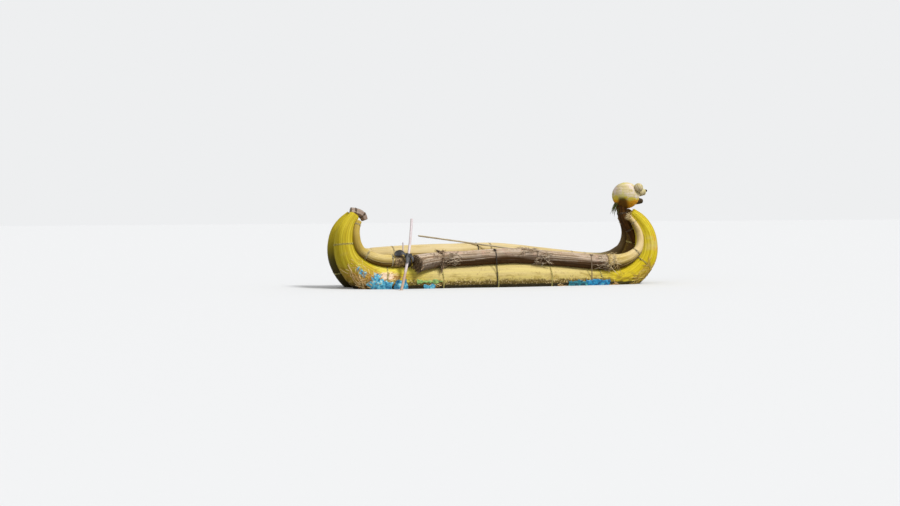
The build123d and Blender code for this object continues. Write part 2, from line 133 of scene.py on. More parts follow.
def ranged(value, low, high, to_low=0.0, to_high=1.0):
    """Smooth step of a value between two limits."""
    limits = {"Value": value, "From Min": low, "From Max": high, "To Min": to_low, "To Max": to_high}
    made = node(value.id_data, "ShaderNodeMapRange", limits, interpolation_type="SMOOTHSTEP")
    return made.outputs["Result"]


def split(place):
    """The three parts of a vector."""
    return node(place.id_data, "ShaderNodeSeparateXYZ", {0: place}).outputs


def vector(*values):
    return node(tree_of(*values), "ShaderNodeCombineXYZ", dict(enumerate(values))).outputs[0]


def cloud(place, scale, detail, roughness=0.5):
    """Fractal noise, 0 to 1."""
    return node(place.id_data, "ShaderNodeTexNoise", {"Vector": place, "Scale": scale, "Detail": detail,
                                                      "Roughness": roughness}).outputs[0]


def object_place(tree):
    return node(tree, "ShaderNodeTexCoord").outputs["Object"]


def new_material(name):
    material = bpy.data.materials.new(name)
    material.use_nodes = True
    return material, material.node_tree


def finished(material, colour, roughness, height, strength, distance, specular=0.5):
    """Feeds a material's Principled shader. The height only shades the surface, as a bump."""
    bump = node(material.node_tree, "ShaderNodeBump",
                {"Height": height, "Strength": strength, "Distance": distance})
    shader = material.node_tree.nodes["Principled BSDF"]
    for label, value in (("Base Color", colour), ("Roughness", roughness), ("Normal", bump.outputs[0]),
                         ("Specular IOR Level", specular)):
        feed(shader.inputs[label], value)
    return material


print("a mid grey of 128 is", round(srgb(128, 128, 128)[0], 3), "in linear light")

# %% [markdown]
# Soft studio light: a pale world lights everything evenly, one wide sun from above the starboard bow
# gives the bundles their round shading, and a weaker one fills in from the starboard quarter. A sun
# was chosen over an area lamp because a boat seven metres long would stand partly outside a lamp's
# pool of light. The view transform is Standard, so a colour renders about as it is written. The floor
# looks pale to the camera, but throws back less light than that, so that undersides stay dark.

# %% Light, world and floor
SUNS = [
    # name, direction of the light, softness in degrees, strength
    ("key_lamp", (-0.42, 0.55, -0.80), 14, 2.5),
    ("fill_lamp", (0.6, 0.75, -0.35), 60, 0.25),
]
WORLD_STRENGTH = 0.56
FLOOR_HALF = 60.0

for name, toward, softness, power in SUNS:
    lamp = add_object(name, bpy.data.lights.new(name, "SUN"))
    lamp.data.angle = math.radians(softness)
    lamp.data.energy = power
    lamp.rotation_euler = Vector(toward).to_track_quat("-Z", "Y").to_euler()

world = bpy.data.worlds.new("studio")
world.use_nodes = True
tree = world.node_tree
tree.nodes.clear()
seen = node(tree, "ShaderNodeLightPath").outputs["Is Camera Ray"]
light = node(tree, "ShaderNodeBackground", {"Color": (1, 1, 1, 1), "Strength": WORLD_STRENGTH})
shown = node(tree, "ShaderNodeBackground", {"Color": srgb(238, 239, 240), "Strength": 1.0})
choice = node(tree, "ShaderNodeMixShader", {0: seen, 1: light.outputs[0], 2: shown.outputs[0]})
node(tree, "ShaderNodeOutputWorld", {"Surface": choice.outputs[0]})
bpy.context.scene.world = world
bpy.context.scene.view_settings.view_transform = "Standard"

floor = add_object("floor", bpy.data.meshes.new("floor"))
corners = [(x * FLOOR_HALF, y * FLOOR_HALF, 0) for x, y in ((-1, -1), (1, -1), (1, 1), (-1, 1))]
floor.data.from_pydata(corners, [], [(0, 1, 2, 3)])
floor_paint, tree = new_material("pale_floor")
ray = node(tree, "ShaderNodeLightPath").outputs
straight = maths("MAXIMUM", ray["Is Camera Ray"], ray["Is Glossy Ray"])
shader = tree.nodes["Principled BSDF"]
feed(shader.inputs["Base Color"], mixed(straight, srgb(118, 120, 122), srgb(226, 227, 228)))
feed(shader.inputs["Roughness"], 0.9)
floor.data.materials.append(floor_paint)
print(len(SUNS), "suns, and a floor", 2 * FLOOR_HALF, "m wide at the waterline")

# %% [markdown]
# A boatbuilder's table of offsets fixes the hull: for places along one main bundle's axis it gives
# the position, the height, the bundle's radius, and the radius and outboard lean of the gunwale on
# either side. These are the CAD part's own figures, in metres, so every skin made from them lies on
# its solid. A smooth curve through the rows never overshoots them.

# %% Lines of the hull
LINES = np.array([
    # X, height, radius, starboard gunwale radius and lean, port gunwale radius and lean
    (-3.190, 1.530, 0.105, 0.060, 44, 0.060, 44),
    (-3.325, 1.360, 0.150, 0.068, 42, 0.070, 42),
    (-3.410, 1.180, 0.190, 0.074, 41, 0.078, 40),
    (-3.440, 0.950, 0.222, 0.080, 39, 0.090, 36),
    (-3.390, 0.660, 0.262, 0.096, 34, 0.114, 29),
    (-3.170, 0.360, 0.325, 0.116, 28, 0.144, 20),
    (-2.840, 0.160, 0.375, 0.126, 22, 0.168, 13),
    (-2.290, 0.097, 0.396, 0.130, 20, 0.184, 10),
    (-1.000, 0.097, 0.397, 0.150, 19, 0.205, 10),
    (0.100, 0.120, 0.420, 0.168, 18, 0.188, 10),
    (1.200, 0.080, 0.380, 0.168, 19, 0.176, 13),
    (2.210, 0.038, 0.334, 0.168, 20, 0.168, 18),
    (2.850, 0.124, 0.302, 0.154, 24, 0.154, 24),
    (3.188, 0.338, 0.284, 0.126, 30, 0.126, 30),
    (3.392, 0.622, 0.268, 0.096, 36, 0.096, 36),
    (3.440, 0.900, 0.240, 0.076, 40, 0.076, 40),
    (3.400, 1.150, 0.210, 0.068, 42, 0.068, 42),
    (3.270, 1.380, 0.170, 0.062, 44, 0.062, 44),
    (3.110, 1.540, 0.125, 0.056, 45, 0.056, 45),
])
BUNDLE_GAP = 0.024
PRESS = 0.007
STARBOARD = -1
PORT = 1
SIDES = ((STARBOARD, "starboard"), (PORT, "port"))

AXIS_KEYS = np.concatenate([[0], np.cumsum(np.hypot(*np.diff(LINES[:, :2], axis=0).T))])
AXIS_LENGTH = AXIS_KEYS[-1]


def column(i, s):
    """Value of one column of LINES at distances s along the axis."""
    s = np.clip(np.atleast_1d(s), 0, AXIS_LENGTH)
    values = LINES[:, i]
    run = np.diff(AXIS_KEYS)
    secant = np.diff(values) / run
    weighted = (secant[:-1] * run[1:] + secant[1:] * run[:-1]) / (run[1:] + run[:-1])
    inner = np.where(secant[:-1] * secant[1:] <= 0, 0, weighted)
    slope = np.concatenate([secant[:1], inner, secant[-1:]])
    k = np.clip(np.searchsorted(AXIS_KEYS, s, side="right") - 1, 0, len(run) - 1)
    t = (s - AXIS_KEYS[k]) / run[k]
    start = slope[k] * run[k]
    end = slope[k + 1] * run[k]
    rise = values[k + 1] - values[k]
    return values[k] + t * start + t ** 2 * (3 * rise - 2 * start - end) + t ** 3 * (start + end - 2 * rise)


def unit(vectors):
    """One or more vectors brought to length 1."""
    return vectors / np.linalg.norm(vectors, axis=-1, keepdims=True)


def hull_radius(s, side=STARBOARD):
    return column(2, s)


def hull_y(s):
    return hull_radius(s) + BUNDLE_GAP / 2


def heading(s):
    """Unit direction of the hull's axis."""
    ahead, behind = (np.clip(np.atleast_1d(s) + step, 0, AXIS_LENGTH) for step in (0.005, -0.005))
    return unit(np.stack([column(0, ahead) - column(0, behind), 0 * ahead,
                          column(1, ahead) - column(1, behind)], 1))


def inward(s):
    """Unit direction from the axis towards the hollow side of the hull: up, amidships."""
    along = heading(s)
    return np.stack([-along[:, 2], along[:, 1], along[:, 0]], 1)


def hull_centre(s, side):
    s = np.atleast_1d(s)
    return np.stack([column(0, s), side * hull_y(s), column(1, s)], 1)


def at_x(x):
    """Distance along the axis where the hull, between its two furthest points, passes x."""
    places = np.linspace(AXIS_KEYS[3], AXIS_KEYS[15], 5000)
    return float(np.interp(x, column(0, places), places))


def on_hull(s, side, radius, lean):
    """Centre of a round bundle that lies on a main bundle, leaning outboard."""
    reach = hull_radius(s) + radius - PRESS
    turn = np.radians(lean)
    centre = hull_centre(s, side) + inward(s) * (reach * np.cos(turn))[:, None]
    centre[:, 1] += side * reach * np.sin(turn)
    return centre


def rail_radius(s, side):
    return column(3 if side == STARBOARD else 5, s)


def rail_centre(s, side):
    return on_hull(s, side, rail_radius(s, side), column(4 if side == STARBOARD else 6, s))


print("hull axis", round(AXIS_LENGTH, 3), "m long")

# %% [markdown]
# Reed is seen as strands, so its colour has to follow each bundle's curve. Every bundle carries a UV
# map called reed: U runs once round the bundle and V is the distance along it in metres. One
# shader group turns the map into strands: each reed gets its own tone, which changes where one stem
# ends and the next begins, and fine fibres run along it. The grooves between reeds are dark with
# painted shade.
# Weather doesn't follow the strands, so a second group cuts noise in the object's own coordinates
# to blotches, and a third marks a ragged band of height, such as the damp strip at the waterline.

# %% Shader groups: strands, blotches and height bands
def new_group(name, inputs, outputs):
    """Shader group with named float inputs, their defaults, and named float outputs."""
    tree = bpy.data.node_groups.new(name, "ShaderNodeTree")
    for label, default in inputs.items():
        socket = tree.interface.new_socket(label, in_out="INPUT", socket_type="NodeSocketFloat")
        socket.default_value = default
    for label in outputs:
        tree.interface.new_socket(label, in_out="OUTPUT", socket_type="NodeSocketFloat")
    return tree, tree.nodes.new("NodeGroupInput").outputs, tree.nodes.new("NodeGroupOutput").inputs


strands_group, given, result = new_group(
    "reed_strands", {"Count": 90.0, "Reed Length": 1.4, "Seed": 0.0}, ("Tone", "Fibre", "Groove", "Height"))
turn, travelled, _ = split(node(strands_group, "ShaderNodeUVMap", uv_map="reed").outputs[0])
around = times(turn, given["Count"])
strand = maths("FLOOR", around)
across = maths("ABSOLUTE", maths("SUBTRACT", maths("FRACT", around), 0.5))
own = node(strands_group, "ShaderNodeTexWhiteNoise", {"W": maths("ADD", strand, given["Seed"])},
           noise_dimensions="1D")
stem = maths("FLOOR", maths("ADD", maths("DIVIDE", travelled, given["Reed Length"]),
                            times(own.outputs[0], 17.0)))
tone = node(strands_group, "ShaderNodeTexWhiteNoise", {"Vector": vector(strand, stem, given["Seed"])},
            noise_dimensions="3D")
fibre = cloud(vector(times(around, 2.2), times(travelled, 2.5), given["Seed"]), 1.0, 4.0, 0.65)
groove = ranged(across, 0.34, 0.5)
feed(result["Tone"], tone.outputs[0])
feed(result["Fibre"], fibre)
feed(result["Groove"], groove)
feed(result["Height"], maths("SUBTRACT", times(fibre, 0.5), groove))

blotch_group, given, result = new_group(
    "blotches", {"Scale": 2.0, "Low": 0.45, "High": 0.65, "Stretch": 1.0, "Seed": 0.0}, ("Mask",))
x, y, z = split(object_place(blotch_group))
drawn_out = vector(maths("DIVIDE", x, given["Stretch"]), maths("ADD", y, given["Seed"]), z)
feed(result["Mask"], ranged(cloud(drawn_out, given["Scale"], 5.0, 0.6), given["Low"], given["High"]))

band_group, given, result = new_group(
    "height_band", {"Bottom": 0.0, "Top": 0.1, "Softness": 0.03, "Ragged": 0.05, "Scale": 6.0}, ("Mask",))
place = object_place(band_group)
shift = times(maths("SUBTRACT", cloud(place, given["Scale"], 4.0, 0.6), 0.5), given["Ragged"])
level = maths("ADD", split(place)[2], times(shift, 2.0))
above = ranged(level, maths("SUBTRACT", given["Bottom"], given["Softness"]), given["Bottom"])
below = ranged(level, given["Top"], maths("ADD", given["Top"], given["Softness"]), 1.0, 0.0)
feed(result["Mask"], times(above, below))


def grouped(tree, group, **values):
    """Places a group, and returns its outputs."""
    made = node(tree, "ShaderNodeGroup", node_tree=group)
    for name, value in values.items():
        feed(made.inputs[name.replace("_", " ").title()], value)
    return made.outputs


def blotches(tree, scale, low, high, stretch=1.0, seed=0.0):
    return grouped(tree, blotch_group, scale=scale, low=low, high=high, stretch=stretch, seed=seed)["Mask"]


def height_band(tree, bottom, top, softness, ragged, scale):
    return grouped(tree, band_group, bottom=bottom, top=top, softness=softness, ragged=ragged,
                   scale=scale)["Mask"]


print("shader groups", [group.name for group in bpy.data.node_groups])

# %% [markdown]
# One function builds every reed finish: strands in three colours, with stains, painted light and
# painted shade laid over them one after another. Each mark is a mask, its strength and its colour.
# Each finish gets its own list of marks, so the strands are written once and every bundle still
# weathers in its own way, with its own painted light and shade where it has any.

# %% Reed finish
# Colour of the painted shade in the grooves between reeds.
GROOVE_SHADE_COLOUR = (0.06, 0.04, 0.02, 1)


def ramp(value, dark, middle, pale, low=0.0, high=1.0):
    """Colour that runs from dark through middle to pale as the value goes from low to high."""
    made = node(value.id_data, "ShaderNodeValToRGB", {0: value})
    elements = made.color_ramp.elements
    for element, position, colour in zip(elements, (low, high), (dark, pale)):
        element.position = position
        element.color = srgb(*colour)
    elements.new(0.5).color = srgb(*middle)
    return made.outputs[0]


def reed(name, dark, middle, pale, count, reed_length, seed, stains_and_painted_light, groove_shade=0.55, roughness=0.62,
         bump=0.35):
    """Count strands round a bundle, with the stains, painted light and painted shade a function gives."""
    material, tree = new_material(name)
    strands = grouped(tree, strands_group, count=count, reed_length=reed_length, seed=seed)
    lightness = maths("ADD", times(strands["Tone"], 0.55), times(strands["Fibre"], 0.45))
    # The grooves between reeds are darkened with painted shade.
    colour = mixed(times(strands["Groove"], groove_shade), ramp(lightness, dark, middle, pale, 0.15, 0.85),
                   GROOVE_SHADE_COLOUR)
    for mask, amount, over in stains_and_painted_light(tree):
        colour = mixed(times(mask, amount), colour, srgb(*over))
    rough = maths("MULTIPLY_ADD", strands["Fibre"], 0.25, roughness - 0.12)
    return finished(material, colour, rough, strands["Height"], bump, 0.004, specular=0.15)


def facing(tree, axis):
    """How far a surface faces along an axis, -1 to 1."""
    return split(node(tree, "ShaderNodeNewGeometry").outputs["Normal"])[axis]


print("grooves between reeds are", GROOVE_SHADE_COLOUR[:3], "in linear light")

# %% [markdown]
# The main bundles are fresh and yellow at the ends and paler amidships, dirty along their flanks,
# brown and rotten just above the waterline and nearly black at it. The gunwales are paler. The
# repair bundles are older: grey and bleached above, dark brown below, partly stain and partly
# painted shade. Some marks are painted light and shade: shade inside the rising bow, on the port
# bundle at the stern and under the gunwales and repair bundles, light on the main bundles aft and
# on the starboard bow gunwale. A mark is placed by where it is on the boat or by which way the
# surface faces there, and blotches break it up.

# %% Stains, painted light and painted shade of the hull, the gunwales and the repair bundles
def painted_shade_inner_bow(tree):
    """Mask of the port side inside the rising bow, where brown painted shade is laid."""
    x, y, z = split(object_place(tree))
    return times(ranged(facing(tree, 1), 0.45, 0.0), ranged(facing(tree, 0), 0.75, 0.35),
                 ranged(y, 0.0, 0.03), ranged(z, 0.42, 0.62), ranged(x, 2.55, 2.95))


def hull_stains_and_painted_light(tree):
    x, y, z = split(object_place(tree))
    middle = times(ranged(x, -2.5, -1.4), ranged(x, 2.6, 1.7), ranged(z, 1.0, 0.6))
    low_stern = times(ranged(x, -2.75, -3.05), ranged(z, 0.55, 0.3))
    # Painted light: the main bundles are lightened aft, against the shade of the gunwale above.
    painted_sunlight = times(ranged(x, -3.0, -2.7), ranged(x, -1.6, -2.2), ranged(z, 0.28, 0.38))
    damp_bow = times(ranged(x, 2.4, 2.8), ranged(z, 0.75, 0.45))
    orange = times(blotches(tree, 6.0, 0.50, 0.60, 0.5, 29.0), ranged(x, 3.42, 3.56))
    pink = times(ranged(x, -2.95, -2.72), ranged(x, -2.38, -2.62),
                 height_band(tree, 0.20, 0.32, 0.05, 0.08, 8.0), ranged(y, 0.0, -0.05))
    specks = times(blotches(tree, 15.0, 0.60, 0.68, 0.6, 14.0), middle)
    dirt = times(height_band(tree, -0.5, 0.19, 0.14, 0.18, 5.0), blotches(tree, 11.0, 0.46, 0.62, 2.0, 1.0))
    not_at_bow = maths("SUBTRACT", 1.0, times(ranged(x, 2.2, 2.6), 0.75))
    moss = times(height_band(tree, -0.5, 0.125, 0.05, 0.08, 7.0), not_at_bow)
    rim = times(height_band(tree, 0.05, 0.17, 0.05, 0.12, 9.0), ranged(x, 2.4, 1.6))
    wet = height_band(tree, -0.6, 0.055, 0.03, 0.03, 9.0)
    # Painted shade on the port bundle at the stern, strongest low down.
    painted_shade_aft_port = times(ranged(y, 0.0, 0.05), ranged(x, -2.9, -3.2), ranged(z, 1.15, 0.5))
    return [
        (middle, 0.72, (222, 202, 146)),
        (blotches(tree, 3.2, 0.52, 0.74, 2.5, 4.0), 0.42, (216, 194, 142)),
        (blotches(tree, 1.3, 0.55, 0.78, 2.0, 9.0), 0.25, (196, 184, 40)),
        (low_stern, 0.6, (176, 132, 66)),
        (painted_sunlight, 0.5, (238, 224, 96)),
        (ranged(x, -3.0, -3.2), 0.3, (160, 138, 36)),
        (damp_bow, 0.5, (224, 196, 16)),
        (orange, 0.6, (222, 160, 40)),
        (pink, 0.95, (254, 226, 198)),
        (specks, 0.65, (160, 122, 84)),
        (dirt, 0.6, (136, 104, 30)),
        (times(ranged(z, 0.34, 0.16), middle), 0.5, (190, 168, 76)),
        (moss, 0.85, (88, 66, 14)),
        (times(blotches(tree, 22.0, 0.54, 0.62, 0.9, 23.0), rim), 0.62, (58, 42, 12)),
        (times(blotches(tree, 26.0, 0.54, 0.62, 0.9, 27.0), rim), 0.62, (236, 208, 150)),
        (wet, 0.92, (34, 29, 14)),
        # Painted shade inside the rising bow.
        (painted_shade_inner_bow(tree), 0.95, (84, 54, 22)),
        (painted_shade_aft_port, 0.92, (50, 44, 8)),
    ]


def rail_stains_and_painted_light(tree):
    x, y, z = split(object_place(tree))
    rising = times(ranged(z, 0.66, 0.84), ranged(x, -2.7, -2.95))
    # Lighter where the starboard bow gunwale faces the light: painted light.
    bow = times(ranged(x, 2.7, 3.1), ranged(y, 0.1, 0.0))
    return [
        (blotches(tree, 2.4, 0.45, 0.70, 2.5, 2.0), 0.5, (230, 212, 172)),
        (blotches(tree, 1.6, 0.58, 0.75, 2.0, 6.0), 0.4, (160, 124, 52)),
        (ranged(y, 0.0, 0.1), 0.45, (214, 196, 158)),
        (rising, 0.85, (184, 156, 62)),
        (bow, 0.6, (246, 220, 168)),
        # Towards the underside the gunwale is darkened to brown: painted shade.
        (ranged(facing(tree, 2), 0.40, -0.1), 0.55, (176, 146, 44)),
        (ranged(facing(tree, 2), 0.0, -0.5), 0.9, (88, 56, 8)),
        # Painted shade inside the rising bow.
        (painted_shade_inner_bow(tree), 0.8, (84, 64, 48)),
    ]


def weathered_stains_and_painted_shade(tree):
    x, _, _ = split(object_place(tree))
    aft = ranged(x, -1.2, -1.6, 0.45, 0.85)
    # Towards the underside the repair bundle is darkened to brown: partly stain, partly painted shade.
    under = times(ranged(facing(tree, 2), 0.42, -0.22), ranged(x, -1.2, -1.6, 0.95, 0.6))
    return [
        (blotches(tree, 4.5, 0.45, 0.65, 1.6, 3.0), 0.5, (212, 196, 180)),
        (times(blotches(tree, 8.0, 0.56, 0.68, 1.6, 8.0), aft), 0.8, (92, 66, 40)),
        (blotches(tree, 6.0, 0.52, 0.66, 1.0, 17.0), 0.4, (206, 164, 142)),
        (times(blotches(tree, 24.0, 0.55, 0.64, 0.8, 19.0), aft), 0.75, (84, 62, 40)),
        (under, 1.0, (72, 43, 8)),
    ]


def plain_reed(name, dark, middle, pale, count, seed, old, old_colour, reed_length=0.9):
    """Reed with one kind of older patch."""
    return reed(name, dark, middle, pale, count, reed_length, seed,
                lambda tree: [(blotches(tree, 4.0, 0.45, 0.65, 1.5, seed), old, old_colour)])


hull_reed = reed("hull_reed", (178, 150, 18), (218, 196, 34), (238, 220, 66), 96, 1.5, 3.0, hull_stains_and_painted_light,
                 groove_shade=0.20, roughness=0.55)
gunwale_reed = reed("gunwale_reed", (176, 144, 62), (216, 190, 112), (238, 216, 156), 54, 1.2, 11.0,
                    rail_stains_and_painted_light, groove_shade=0.30)
weathered_reed = reed("weathered_reed", (136, 110, 82), (194, 170, 142), (222, 204, 180), 50, 0.9, 21.0,
                      weathered_stains_and_painted_shade, groove_shade=0.5, roughness=0.75, bump=0.5)
tip_reed = plain_reed("tip_reed", (138, 116, 100), (178, 158, 142), (206, 188, 172), 26, 5.0, 0.4,
                      (150, 120, 112))
inner_reed = plain_reed("inner_reed", (132, 108, 58), (170, 146, 88), (204, 184, 128), 40, 7.0, 0.45,
                        (140, 118, 84))
# The neck's reed is dark brown: mostly painted shade, as the neck stands in shade under the head.
neck_reed = plain_reed("neck_reed", (54, 30, 6), (84, 50, 14), (114, 76, 26), 34, 13.0, 0.4, (56, 40, 20))
print("hull reed has", len(hull_reed.node_tree.nodes), "nodes")

# %% [markdown]
# The bundle builder. A ring of points is swept along a path, with three points for every reed, two
# on its back and one in the groove, so that the silhouette itself is reeded. The reeds wander a
# little sideways and in and out, each with its own slow wave, and the bundle is waisted where a
# lashing pulls it in. A few lines of array sums do this faster than a modifier would, and they also
# write the reed map that the finishes need.

# %% Bundle builder
REED_POINTS = (
    # place across the reed, share of its wander, height out of the groove
    (0.02, 0.6, 0.0), (0.32, 1.0, 1.0), (0.68, 1.0, 0.85),
)


def make_object(name, points, faces, material, loops):
    """Mesh object at the origin. loops are the UV values of the faces' corners, in order."""
    mesh = bpy.data.meshes.new(name)
    mesh.from_pydata(np.asarray(points, float).tolist(), [], faces)
    mesh.uv_layers.new(name="reed").data.foreach_set("uv", np.asarray(loops, np.float32).ravel())
    mesh.materials.append(material)
    mesh.shade_smooth()
    return add_object(name, mesh)


def distances(path):
    """Distance along a path to each of its points."""
    return np.concatenate([[0], np.cumsum(np.linalg.norm(np.diff(path, axis=0), axis=1))])


def ring_frames(path, reference):
    """Tangent, across and up directions for each point of a path."""
    tangent = unit(np.gradient(path, axis=0))
    reference = np.asarray(reference, float)
    across = unit(reference - (tangent @ reference)[:, None] * tangent)
    return tangent, across, np.cross(tangent, across)


def waves(count, seed, low, high):
    """Random slow waves, one pair for each of count reeds: frequencies and phases."""
    dice = np.random.default_rng(seed)
    return dice.uniform(low, high, (2, count, 1)), dice.uniform(0, 2 * math.pi, (2, count, 1))


def reed_surface(path, radii, strands, seed, depth, cinches=(), cinch=0.03, cinch_width=0.07,
                 reference=(0, 1, 0), lump=0.012):
    """Points of a reeded bundle, ring by ring, and the distance of each ring."""
    path = np.asarray(path, float)
    radii = np.broadcast_to(np.asarray(radii, float), len(path))
    run = distances(path)
    _, across, up = ring_frames(path, reference)
    frequency, phase = waves(strands, seed, 1.5, 6.0)
    wander = (np.sin(run * frequency[0] + phase[0]) + np.sin(run * frequency[1] + phase[1])) * 0.12
    lift = np.sin(run * frequency[1] * 1.3 + phase[0] * 2) * depth * 0.5
    waist = sum((cinch * np.exp(-((run - place) / cinch_width) ** 2) for place in cinches), 0 * run)
    swell = radii * (1 - waist)
    lumps = np.random.default_rng(seed + 1).uniform(0, 2 * math.pi, 4)
    points = np.empty((len(path), strands * len(REED_POINTS), 3))
    index = np.arange(strands)[:, None]
    for part, (offset, loose, rise) in enumerate(REED_POINTS):
        angle = math.pi + 2 * math.pi * (index + offset + wander * loose) / strands
        bulge = lump * (np.sin(3 * angle + lumps[0] + run * 1.1) + np.sin(2 * angle + lumps[1] - run * 1.7))
        reach = swell * (1 + bulge) - depth + (depth + lift) * rise
        ring = path + (reach * np.cos(angle))[:, :, None] * up + (reach * np.sin(angle))[:, :, None] * across
        points[:, part::len(REED_POINTS)] = ring.transpose(1, 0, 2)
    return points, run


def skin(name, points, run, material, cap_in=0.0):
    """Closed skin over rings of points, with the reed map, and fans that close its ends."""
    rows, around = points.shape[:2]
    k, j = np.divmod(np.arange((rows - 1) * around), around)
    after = (j + 1) % around
    faces = np.stack([k * around + j, (k + 1) * around + j, (k + 1) * around + after, k * around + after], 1)
    faces = faces.tolist()
    corners = ((j, k), (j, k + 1), (j + 1, k + 1), (j + 1, k))
    loops = [np.stack([np.stack([a / around, run[b]], 1) for a, b in corners], 1).reshape(-1, 2)]
    ring = np.arange(around)
    centres = []
    for row, inner in ((0, 1), (rows - 1, rows - 2)):
        centre = points[row].mean(0)
        a, b = row * around + ring, row * around + (ring + 1) % around
        tip = np.full(around, rows * around + len(centres))
        faces += np.stack([b, a, tip] if row else [a, b, tip], 1).tolist()
        centres.append(centre - unit(centre - points[inner].mean(0)) * cap_in)
        loops.append(np.tile([[0.5, run[row]]], (3 * around, 1)))
    return make_object(name, np.vstack([points.reshape(-1, 3), centres]), faces, material, np.vstack(loops))


def placed(obj, slot, *nodes, body="root"):
    """Fixes a finished piece to its body and hides the CAD nodes it stands for. slot is not used."""
    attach(obj, body)
    if nodes:
        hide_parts(*nodes)
    print(obj.name, sum(len(p.vertices) - 2 for p in obj.data.polygons), "triangles")
    return obj


def bundle(name, node_name, material, slot_name, path, radii, strands, seed, depth=0.004, cap_in=0.0,
           **shape):
    """Reeded bundle that stands for a CAD node."""
    points, run = reed_surface(path, radii, strands, seed, depth, **shape)
    placed(skin(name, points, run, material, cap_in), slot_name, node_name)


print("each reed is", len(REED_POINTS), "points of a ring")

# %% [markdown]
# The two main bundles. Their lashings sit at even distances, those of one side half a step out of
# time with the other's, because one long rope zigzags between them. Each pulls the reeds in a little.

# %% Main bundles
HULL_BAND_COUNT = 7
HULL_BAND_END = 0.330
HULL_STRANDS = 120
BAND_GAP = (AXIS_LENGTH - 2 * HULL_BAND_END) / HULL_BAND_COUNT


def hull_band_places(side):
    shift = 0.3 if side == STARBOARD else 0.7
    return HULL_BAND_END + BAND_GAP * shift + BAND_GAP * np.arange(HULL_BAND_COUNT)


s = np.linspace(0, AXIS_LENGTH, 190)
for seed, (side, word) in enumerate(SIDES, 11):
    bundle("reeds_hull_" + word, "hull_bundle_" + word, hull_reed, "hull_reed", hull_centre(s, side),
           hull_radius(s), HULL_STRANDS, seed, 0.0045, cinches=hull_band_places(side), cinch=0.010,
           cinch_width=0.10, lump=0.002)

# %% [markdown]
# The gunwales are thinner bundles that lie on the main ones, leaning outboard. The port one runs
# the whole length. The starboard one has rotted away amidships, so it is two end pieces with three
# older, greyer repair bundles between them, whose thickness and lean change evenly along each.

# %% Gunwales and repair bundles
RAIL_STRANDS = 46
REPAIR_STRANDS = 42
RAIL_TIP_INSET = 0.060
RAIL_END = AXIS_LENGTH - 0.015
RAIL_BAND_INSET = RAIL_TIP_INSET + 0.090
STERN_RAIL_END = at_x(-2.110)
BOW_RAIL_START = at_x(2.380)
LAST_BAND = AXIS_LENGTH - RAIL_BAND_INSET
PORT_BAND_PLACES = np.linspace(RAIL_BAND_INSET, LAST_BAND, 5)
STERN_BAND_PLACES = np.linspace(RAIL_BAND_INSET, STERN_RAIL_END - 0.330, 3)
BOW_BAND_PLACES = np.linspace(BOW_RAIL_START + 0.150, LAST_BAND, 3)
RAILS = [
    # word, CAD node, side, start, end, rings, lashings
    ("port", "gunwale_port", PORT, RAIL_TIP_INSET, RAIL_END, 170, PORT_BAND_PLACES),
    ("stern", "gunwale_starboard_stern", STARBOARD, RAIL_TIP_INSET, STERN_RAIL_END, 70, STERN_BAND_PLACES),
    ("bow", "gunwale_starboard_bow", STARBOARD, BOW_RAIL_START, RAIL_END, 70, BOW_BAND_PLACES),
]
REPAIRS = {
    # aft X, fore X, aft radius, fore radius, aft lean, fore lean, rings
    "aft": (-2.030, -1.510, 0.184, 0.152, 42, 24, 26),
    "middle": (-1.450, 0.640, 0.156, 0.158, 20, 18, 86),
    "fore": (0.660, 2.360, 0.156, 0.158, 18, 20, 86),
}

rails = {}
for seed, (word, node_name, side, start, end, rings, bands) in enumerate(RAILS, 21):
    s = np.linspace(start, end, rings)
    path = rail_centre(s, side)
    bundle("reeds_gunwale_" + word, node_name, gunwale_reed, "gunwale_reed", path, rail_radius(s, side),
           RAIL_STRANDS, seed, cap_in=0.012, cinches=np.interp(bands, s, distances(path)), cinch=0.02,
           cinch_width=0.05, lump=0.004)
    rails[word] = path

repairs = {}
for seed, (word, row) in enumerate(REPAIRS.items(), 31):
    aft, fore, aft_radius, fore_radius, aft_lean, fore_lean, rings = row
    share = np.linspace(0, 1, rings)
    radii = aft_radius + (fore_radius - aft_radius) * share
    leans = aft_lean + (fore_lean - aft_lean) * share
    path = on_hull(np.linspace(at_x(aft), at_x(fore), rings), STARBOARD, radii, leans)
    bundle("reeds_repair_" + word, "repair_bundle_" + word, weathered_reed, "weathered_reed", path, radii,
           REPAIR_STRANDS, seed, 0.0065, cap_in=0.015, lump=0.008)
    repairs[word] = (path, radii)

# %% [markdown]
# Between the main bundles lies the core bundle, and over all three lies the floor: reeds side by
# side, stitched into a mat. The mat is a closed slab whose top is ribbed like the bundles. Its
# edges keep clear of the gunwales. The three seats are short bundles laid across it.

# %% Core, floor mat and seats
CORE_RADIUS = 0.092
CORE_STRANDS = 24
MAT_THICKNESS = 0.060
MAT_CLEARANCE = 0.012
MAT_REEDS = 42
SEAT_RADIUS = 0.095
SEAT_STRANDS = 26
SEAT_CLEARANCE = 0.015
SEAT_BAND_INSET = 0.12
SEATS = {"aft": -1.150, "middle": 0.350, "fore": 1.550}


def in_groove(s, radius):
    """Centre of a bundle that lies in the groove between the main ones."""
    s = np.atleast_1d(s)
    rise = np.sqrt((hull_radius(s) + radius - PRESS) ** 2 - hull_y(s) ** 2)
    return np.stack([column(0, s), 0 * s, column(1, s)], 1) + inward(s) * rise[:, None]


def mat_top(s):
    return column(1, s) + hull_radius(s) + MAT_THICKNESS - PRESS


def rail_inner(s, side, height=None):
    """Distance from the centreline to the gunwale's inner face, at a height or at its widest."""
    centre = rail_centre(s, side)
    drop = 0 if height is None else centre[:, 2] - height
    return np.abs(centre[:, 1]) - np.sqrt(rail_radius(s, side) ** 2 - drop ** 2)


